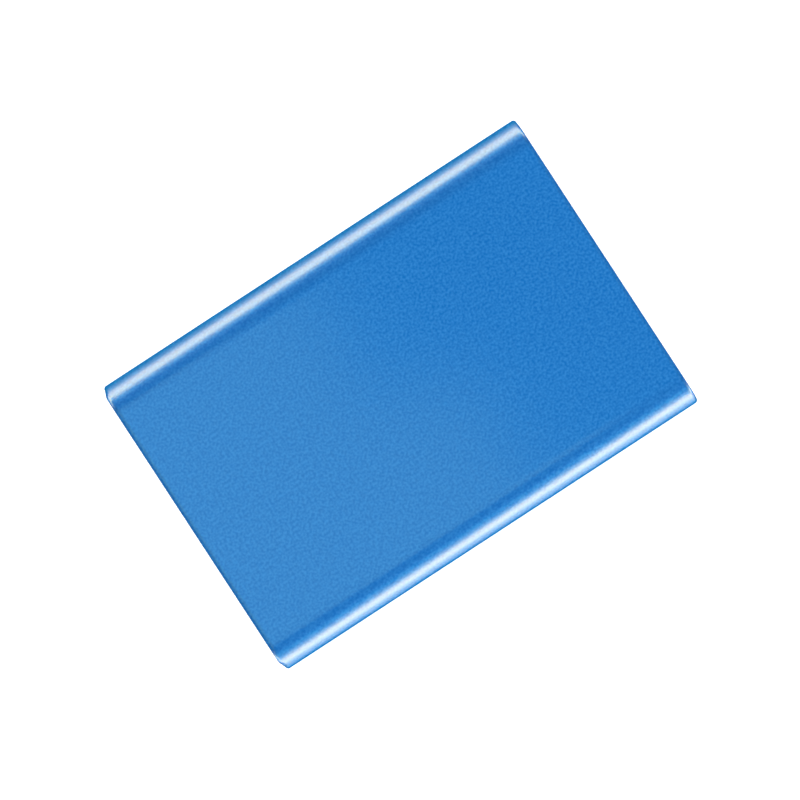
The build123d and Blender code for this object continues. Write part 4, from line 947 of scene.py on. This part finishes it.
def make_sleeve_tree():
    """Rounds the sketch, sweeps the wall and draws back the ends."""
    sizes = (*CORNER_SIZES, "Height", "Rear draw", "Front draw")
    tree, given = start_tree("sleeve", sizes, ("Side steps", "End steps"))
    wall, outline = part_by_mark(tree, given["Geometry"], "wall")
    radius = tree.nodes.new("GeometryNodeIndexSwitch")
    radius.data_type = "FLOAT"
    while len(radius.index_switch_items) <= len(CORNER_SIZES):
        radius.index_switch_items.new()
    tree.links.new(read_mark(tree, "corner"), radius.inputs["Index"])
    for kind, size in enumerate(CORNER_SIZES, SHOULDER):
        tree.links.new(given[size], radius.inputs[kind + 1])
    rounded = []
    for loop, steps in ((outline, "Side steps"), (wall, "End steps")):
        curve = step(tree, "GeometryNodeMeshToCurve", {"Mesh": loop})["Curve"]
        rounded.append(round_off(tree, curve, radius.outputs["Output"], given[steps]))
    tube = flip(tree, weld(tree, sweep(tree, *rounded)))
    lift = arrow(tree, Z=work(tree, "MULTIPLY", given["Height"], 0.5))
    wires = {"Geometry": tube, "Translation": lift, "Rotation": UPRIGHT_ALONG_X}
    turned = step(tree, "GeometryNodeTransform", wires)["Geometry"]
    wires = {"Geometry": turned, "Offset": arrow(tree, X=draw_back(tree, given))}
    end_tree(tree, given, step(tree, "GeometryNodeSetPosition", wires)["Geometry"])
    return tree


sleeve_tree = make_sleeve_tree()
print("steps in the sleeve tree:", len(sleeve_tree.nodes))

# %% [markdown]
# The tree is run with the sizes of this sleeve. The sides get many steps, because the streaks along
# them would show every flat.

# %% Make the sleeve
sleeve_sizes = {
    "Shoulder radius": SHOULDER_RADIUS,
    "Nose radius": nose_round,
    "End round": END_ROUND,
    "Inner round": INNER_ROUND,
    "Height": SLEEVE_HEIGHT,
    "Rear draw": 0.64 * MM,
    "Front draw": 0.1 * MM,
    "Side steps": 40,
    "End steps": 8,
}
sleeve = run_tree("blue_sleeve", sleeve_sketch, sleeve_tree, "blue_aluminium", sleeve_sizes)
place_piece(sleeve, "enclosure", "blue_aluminium", "sleeve")

# %% [markdown]
# ## Softened edges
# No moulded or stamped piece has knife edges, and the thin light along a rounded edge is what
# makes a piece look made. A Bevel modifier would stumble over the loose triangles of a CAD mesh.
# So a copy of the solid is welded, its flat faces are joined up again, and its sharp edges are
# bevelled. Flat faces stay flat shaded and only the small curved ones are smooth.

# %% Round the edges of the moulded and stamped pieces
STILL_FLAT = math.radians(0.5)
CURVED = math.radians(2)
SMALL_FACE = 4 * MM**2
EDGE_STEPS = 3
# The round of each piece, in mm.
EDGES = {
    "front_end_cap": 0.12,
    "rear_end_cap": 0.12,
    "socket_shell": 0.08,
    "socket_insulator": 0.06,
    "drive_receptacle": 0.08,
    "drive_plug": 0.08,
    "bridge_chip": 0.06,
    "controller_chip": 0.06,
    "memory_chip": 0.06,
    "motor_driver_chip": 0.06,
    "crystal": 0.15,
    "board_capacitors": 0.08,
    "status_lamp": 0.06,
    "parking_ramp": 0.06,
    "light_pipe": 0.3,
}


def soften(node, edge):
    """A copy of a solid with every sharp edge rounded."""
    shell = bmesh.new()
    shell.from_mesh(solids[node].data)
    bmesh.ops.remove_doubles(shell, verts=shell.verts, dist=WELD)
    bmesh.ops.dissolve_limit(shell, angle_limit=STILL_FLAT, verts=shell.verts, edges=shell.edges)
    sharp = [line for line in shell.edges if line.is_manifold and line.calc_face_angle(0) > SHARP]
    bmesh.ops.bevel(
        shell,
        geom=sharp,
        offset=edge,
        offset_type="OFFSET",
        segments=EDGE_STEPS,
        profile=0.5,
        affect="EDGES",
        clamp_overlap=True,
    )
    for face in shell.faces:
        bends = [line.calc_face_angle(0) for line in face.edges if line.is_manifold]
        curved = any(CURVED < bend < SHARP for bend in bends)
        face.smooth = curved and face.calc_area() < SMALL_FACE
    name = "soft_edged_" + node
    piece = bpy.data.objects.new(name, bpy.data.meshes.new(name))
    shell.to_mesh(piece.data)
    shell.free()
    bpy.context.collection.objects.link(piece)
    return piece


for node, edge in EDGES.items():
    place_piece(soften(node, edge * MM), body_of[node], slot_of[node], node)

# %% [markdown]
# ## Rows of contacts
# A contact is a gilded strip with rounded corners. There are dozens, all alike, so one strip is
# drawn in a tree and set on a point for each. An Array modifier would space them evenly, but the
# rows have gaps. The points come from the boxes of the CAD strips, which are found by walking from
# point to point over each loose solid.

# %% Find the separate solids of a node
def separate_boxes(node):
    """The lowest and highest corner of each separate solid in a CAD node."""
    shell = bmesh.new()
    shell.from_mesh(solids[node].data)
    bmesh.ops.remove_doubles(shell, verts=shell.verts, dist=WELD)
    unseen, boxes = set(shell.verts), []
    while unseen:
        waiting, found = [unseen.pop()], []
        while waiting:
            vertex = waiting.pop()
            found.append(vertex.co.copy())
            for line in vertex.link_edges:
                other = line.other_vert(vertex)
                if other in unseen:
                    unseen.remove(other)
                    waiting.append(other)
        low = Vector([min(point[i] for point in found) for i in range(3)])
        high = Vector([max(point[i] for point in found) for i in range(3)])
        boxes.append((low, high))
    shell.free()
    return sorted(boxes, key=lambda box: tuple(round(value, 6) for value in box[0]))


def above_middle(low, high, height):
    """The point at this height over the middle of a box."""
    return (low.x + high.x) / 2, (low.y + high.y) / 2, height


CONTACT_ROWS = ("socket_contacts", "receptacle_contacts", "plug_contacts")
print("contacts:", [len(separate_boxes(node)) for node in CONTACT_ROWS])

# %% [markdown]
# The tree draws a rectangle, rounds its corners, fills it and raises it by the strip's thickness.
# Raising leaves the underside open, so the filled rectangle is turned over and welded on below.

# %% Build the contact tree and set the rows
CONTACT_CORNER = 0.35
CONTACT_CORNER_STEPS = 4


def make_contact_tree():
    """One strip, set on every point of the sketch."""
    tree, given = start_tree("contact_rows", ("Length", "Width", "Thickness", "Corner"))
    wires = {"Width": given["Length"], "Height": given["Width"]}
    outline = step(tree, "GeometryNodeCurvePrimitiveQuadrilateral", wires)["Curve"]
    under = fill(tree, round_off(tree, outline, given["Corner"], CONTACT_CORNER_STEPS))
    wires = {"Mesh": under, "Offset Scale": given["Thickness"]}
    raised = step(tree, "GeometryNodeExtrudeMesh", wires)["Mesh"]
    strip = weld(tree, join(tree, raised, flip(tree, under)))
    wires = {"Points": given["Geometry"], "Instance": strip}
    end_tree(tree, given, step(tree, "GeometryNodeInstanceOnPoints", wires)["Instances"])
    return tree


contact_tree = make_contact_tree()
for node in CONTACT_ROWS:
    boxes = separate_boxes(node)
    size = boxes[0][1] - boxes[0][0]
    feet = [above_middle(low, high, low.z) for low, high in boxes]
    sizes = {
        "Length": size.x,
        "Width": size.y,
        "Thickness": size.z,
        "Corner": CONTACT_CORNER * size.y,
    }
    base = sketch(node, feet, [])
    rows = run_tree("rows_of_" + node, base, contact_tree, "contact_gold", sizes)
    place_piece(rows, body_of[node], "contact_gold", node)

# %% [markdown]
# ## Screws
# Each screw is turned from one outline: tip, thread, and a low head with a rounded rim. A Screw
# modifier would give a true helix, but at this size rings look the same and close up cleanly. The
# sketch holds the outline and a point for every seat, told apart by a mark.

# %% Outline of a screw
THREAD_PITCH = 0.35 * MM
TIP_HEIGHT = 0.15 * MM
SWEEP_RADIUS = 0.4 * MM
# Shares of the shank's radius, and of the head's height.
TIP_SHARE, THREAD_ROOT = 0.7, 0.84
RIM_ROUND = 0.45
RIM_TURNS = (30, 60, 90)


def screw_sketch(seats, head_radius, head, shank, length):
    """The outline of one screw with the points it sits on, and the radius of its flat top."""
    outline = [(0, 0), (TIP_SHARE * shank, 0)]
    height = TIP_HEIGHT
    while height + THREAD_PITCH < length - head:
        outline += [(shank, height), (THREAD_ROOT * shank, height + THREAD_PITCH / 2)]
        height += THREAD_PITCH
    rim = RIM_ROUND * head
    under_head = length - head
    outline += [(shank, under_head), (head_radius, under_head), (head_radius, length - rim)]
    for turn in RIM_TURNS:
        inward = rim * (1 - math.cos(math.radians(turn)))
        below_top = rim * (1 - math.sin(math.radians(turn)))
        outline.append((head_radius - inward, length - below_top))
    points = [(radius - SWEEP_RADIUS, under_head - rise, 0) for radius, rise in outline]
    lines = [(i, i + 1) for i in range(len(points) - 1)]
    marks = [0] * len(points) + [1] * len(seats)
    return sketch("screw", points + list(seats), lines, seat=marks), head_radius - rim


print("thread pitch", THREAD_PITCH / MM, "mm")

# %% [markdown]
# The tree sweeps the outline round a circle, fills the top between the rim and a six-lobed star,
# sinks the star as the recess for the driver, and sets a screw on each seat.

# %% Build the screw tree
RIM_STEPS = 32
LOBES, LOBE_STEPS = 6, 3
# Shares of the recess's radius.
LOBE_WAIST, LOBE_CORNER = 0.72, 0.2
SCREW_WELD = 2e-6


def circle(tree, radius):
    """A circle with the steps of a screw's rim."""
    wires = {"Resolution": RIM_STEPS, "Radius": radius}
    return step(tree, "GeometryNodeCurvePrimitiveCircle", wires)["Curve"]


def make_screw_tree():
    """One screw, set on every seat of the sketch."""
    sizes = ("Top radius", "Head", "Recess radius", "Recess depth", "Turn over")
    tree, given = start_tree("screws", sizes)
    seats, lines = part_by_mark(tree, given["Geometry"], "seat")
    outline = step(tree, "GeometryNodeMeshToCurve", {"Mesh": lines})["Curve"]
    turned = flip(tree, sweep(tree, circle(tree, SWEEP_RADIUS), outline))
    reach = given["Recess radius"]
    waist = work(tree, "MULTIPLY", reach, LOBE_WAIST)
    wires = {"Points": LOBES, "Inner Radius": waist, "Outer Radius": reach}
    star = step(tree, "GeometryNodeCurveStar", wires)["Curve"]
    lobes = round_off(tree, star, work(tree, "MULTIPLY", reach, LOBE_CORNER), LOBE_STEPS)
    top = fill(tree, join(tree, circle(tree, given["Top radius"]), lobes), "TRIANGLES")
    sunk = work(tree, "MULTIPLY", given["Recess depth"], -1.0)
    wires = {"Mesh": fill(tree, lobes), "Offset Scale": sunk}
    recess = step(tree, "GeometryNodeExtrudeMesh", wires)["Mesh"]
    wires = {"Geometry": join(tree, top, recess), "Translation": arrow(tree, Z=given["Head"])}
    crown = step(tree, "GeometryNodeTransform", wires)["Geometry"]
    screw = weld(tree, join(tree, turned, crown), SCREW_WELD)
    wires = {"Points": seats, "Instance": screw, "Rotation": arrow(tree, X=given["Turn over"])}
    end_tree(tree, given, step(tree, "GeometryNodeInstanceOnPoints", wires)["Instances"])
    return tree


screw_tree = make_screw_tree()
print("steps in the screw tree:", len(screw_tree.nodes))

# %% [markdown]
# Every screw's place and length come from the box of its CAD solid. The drive's own board is held
# from below, so its screws are turned over.

# %% Set the screws
HEAD_UP, HEAD_DOWN = 0.0, math.pi
# Shares of the head's radius and of its height.
RECESS_SHARE, RECESS_DEPTH = 0.5, 0.7
# Each row: head's radius, head's height and shank's radius in mm, and which way up it stands.
SCREWS = {
    "cover_screws": (1.6, 0.3, 0.8, HEAD_UP),
    "board_screws": (1.6, 0.3, 0.8, HEAD_UP),
    "drive_board_screws": (1.6, 0.2, 0.8, HEAD_DOWN),
    "pivot_screw": (1.6, 0.3, 0.8, HEAD_UP),
    "clamp_screw": (2.6, 0.45, 0.8, HEAD_UP),
}
for node, (head_radius, head, shank, turn_over) in SCREWS.items():
    boxes = separate_boxes(node)
    length = boxes[0][1].z - boxes[0][0].z
    seats = []
    for low, high in boxes:
        height = high.z - head * MM if turn_over == HEAD_UP else low.z + head * MM
        seats.append(above_middle(low, high, height))
    base, top_radius = screw_sketch(seats, head_radius * MM, head * MM, shank * MM, length)
    sizes = {
        "Top radius": top_radius,
        "Head": head * MM,
        "Recess radius": RECESS_SHARE * head_radius * MM,
        "Recess depth": RECESS_DEPTH * head * MM,
        "Turn over": turn_over,
    }
    screws = run_tree("star_" + node, base, screw_tree, slot_of[node], sizes)
    place_piece(screws, body_of[node], slot_of[node], node)

# %% [markdown]
# ## Table finish
# A plain white table is still a surface, with a faint cloudiness, so it gets the grain too. A lamp
# below it could light it through, but a little glow of its own gives the same even white.

# %% Finish the table
TABLE_GLOW = 0.6
white_table = finish(
    "white_table",
    grain,
    sizes={"Fineness": 300, "Cloud fineness": 6, "Cloud": 0.5},
    colours=((0.88, 0.88, 0.88), (0.92, 0.92, 0.92)),
    roughness=(0.7, 0.8),
    depth=0.01 * MM,
    Emission_Color=(*WHITE, 1),
    Emission_Strength=TABLE_GLOW,
)
floor.data.materials.append(white_table)
print("table finished")
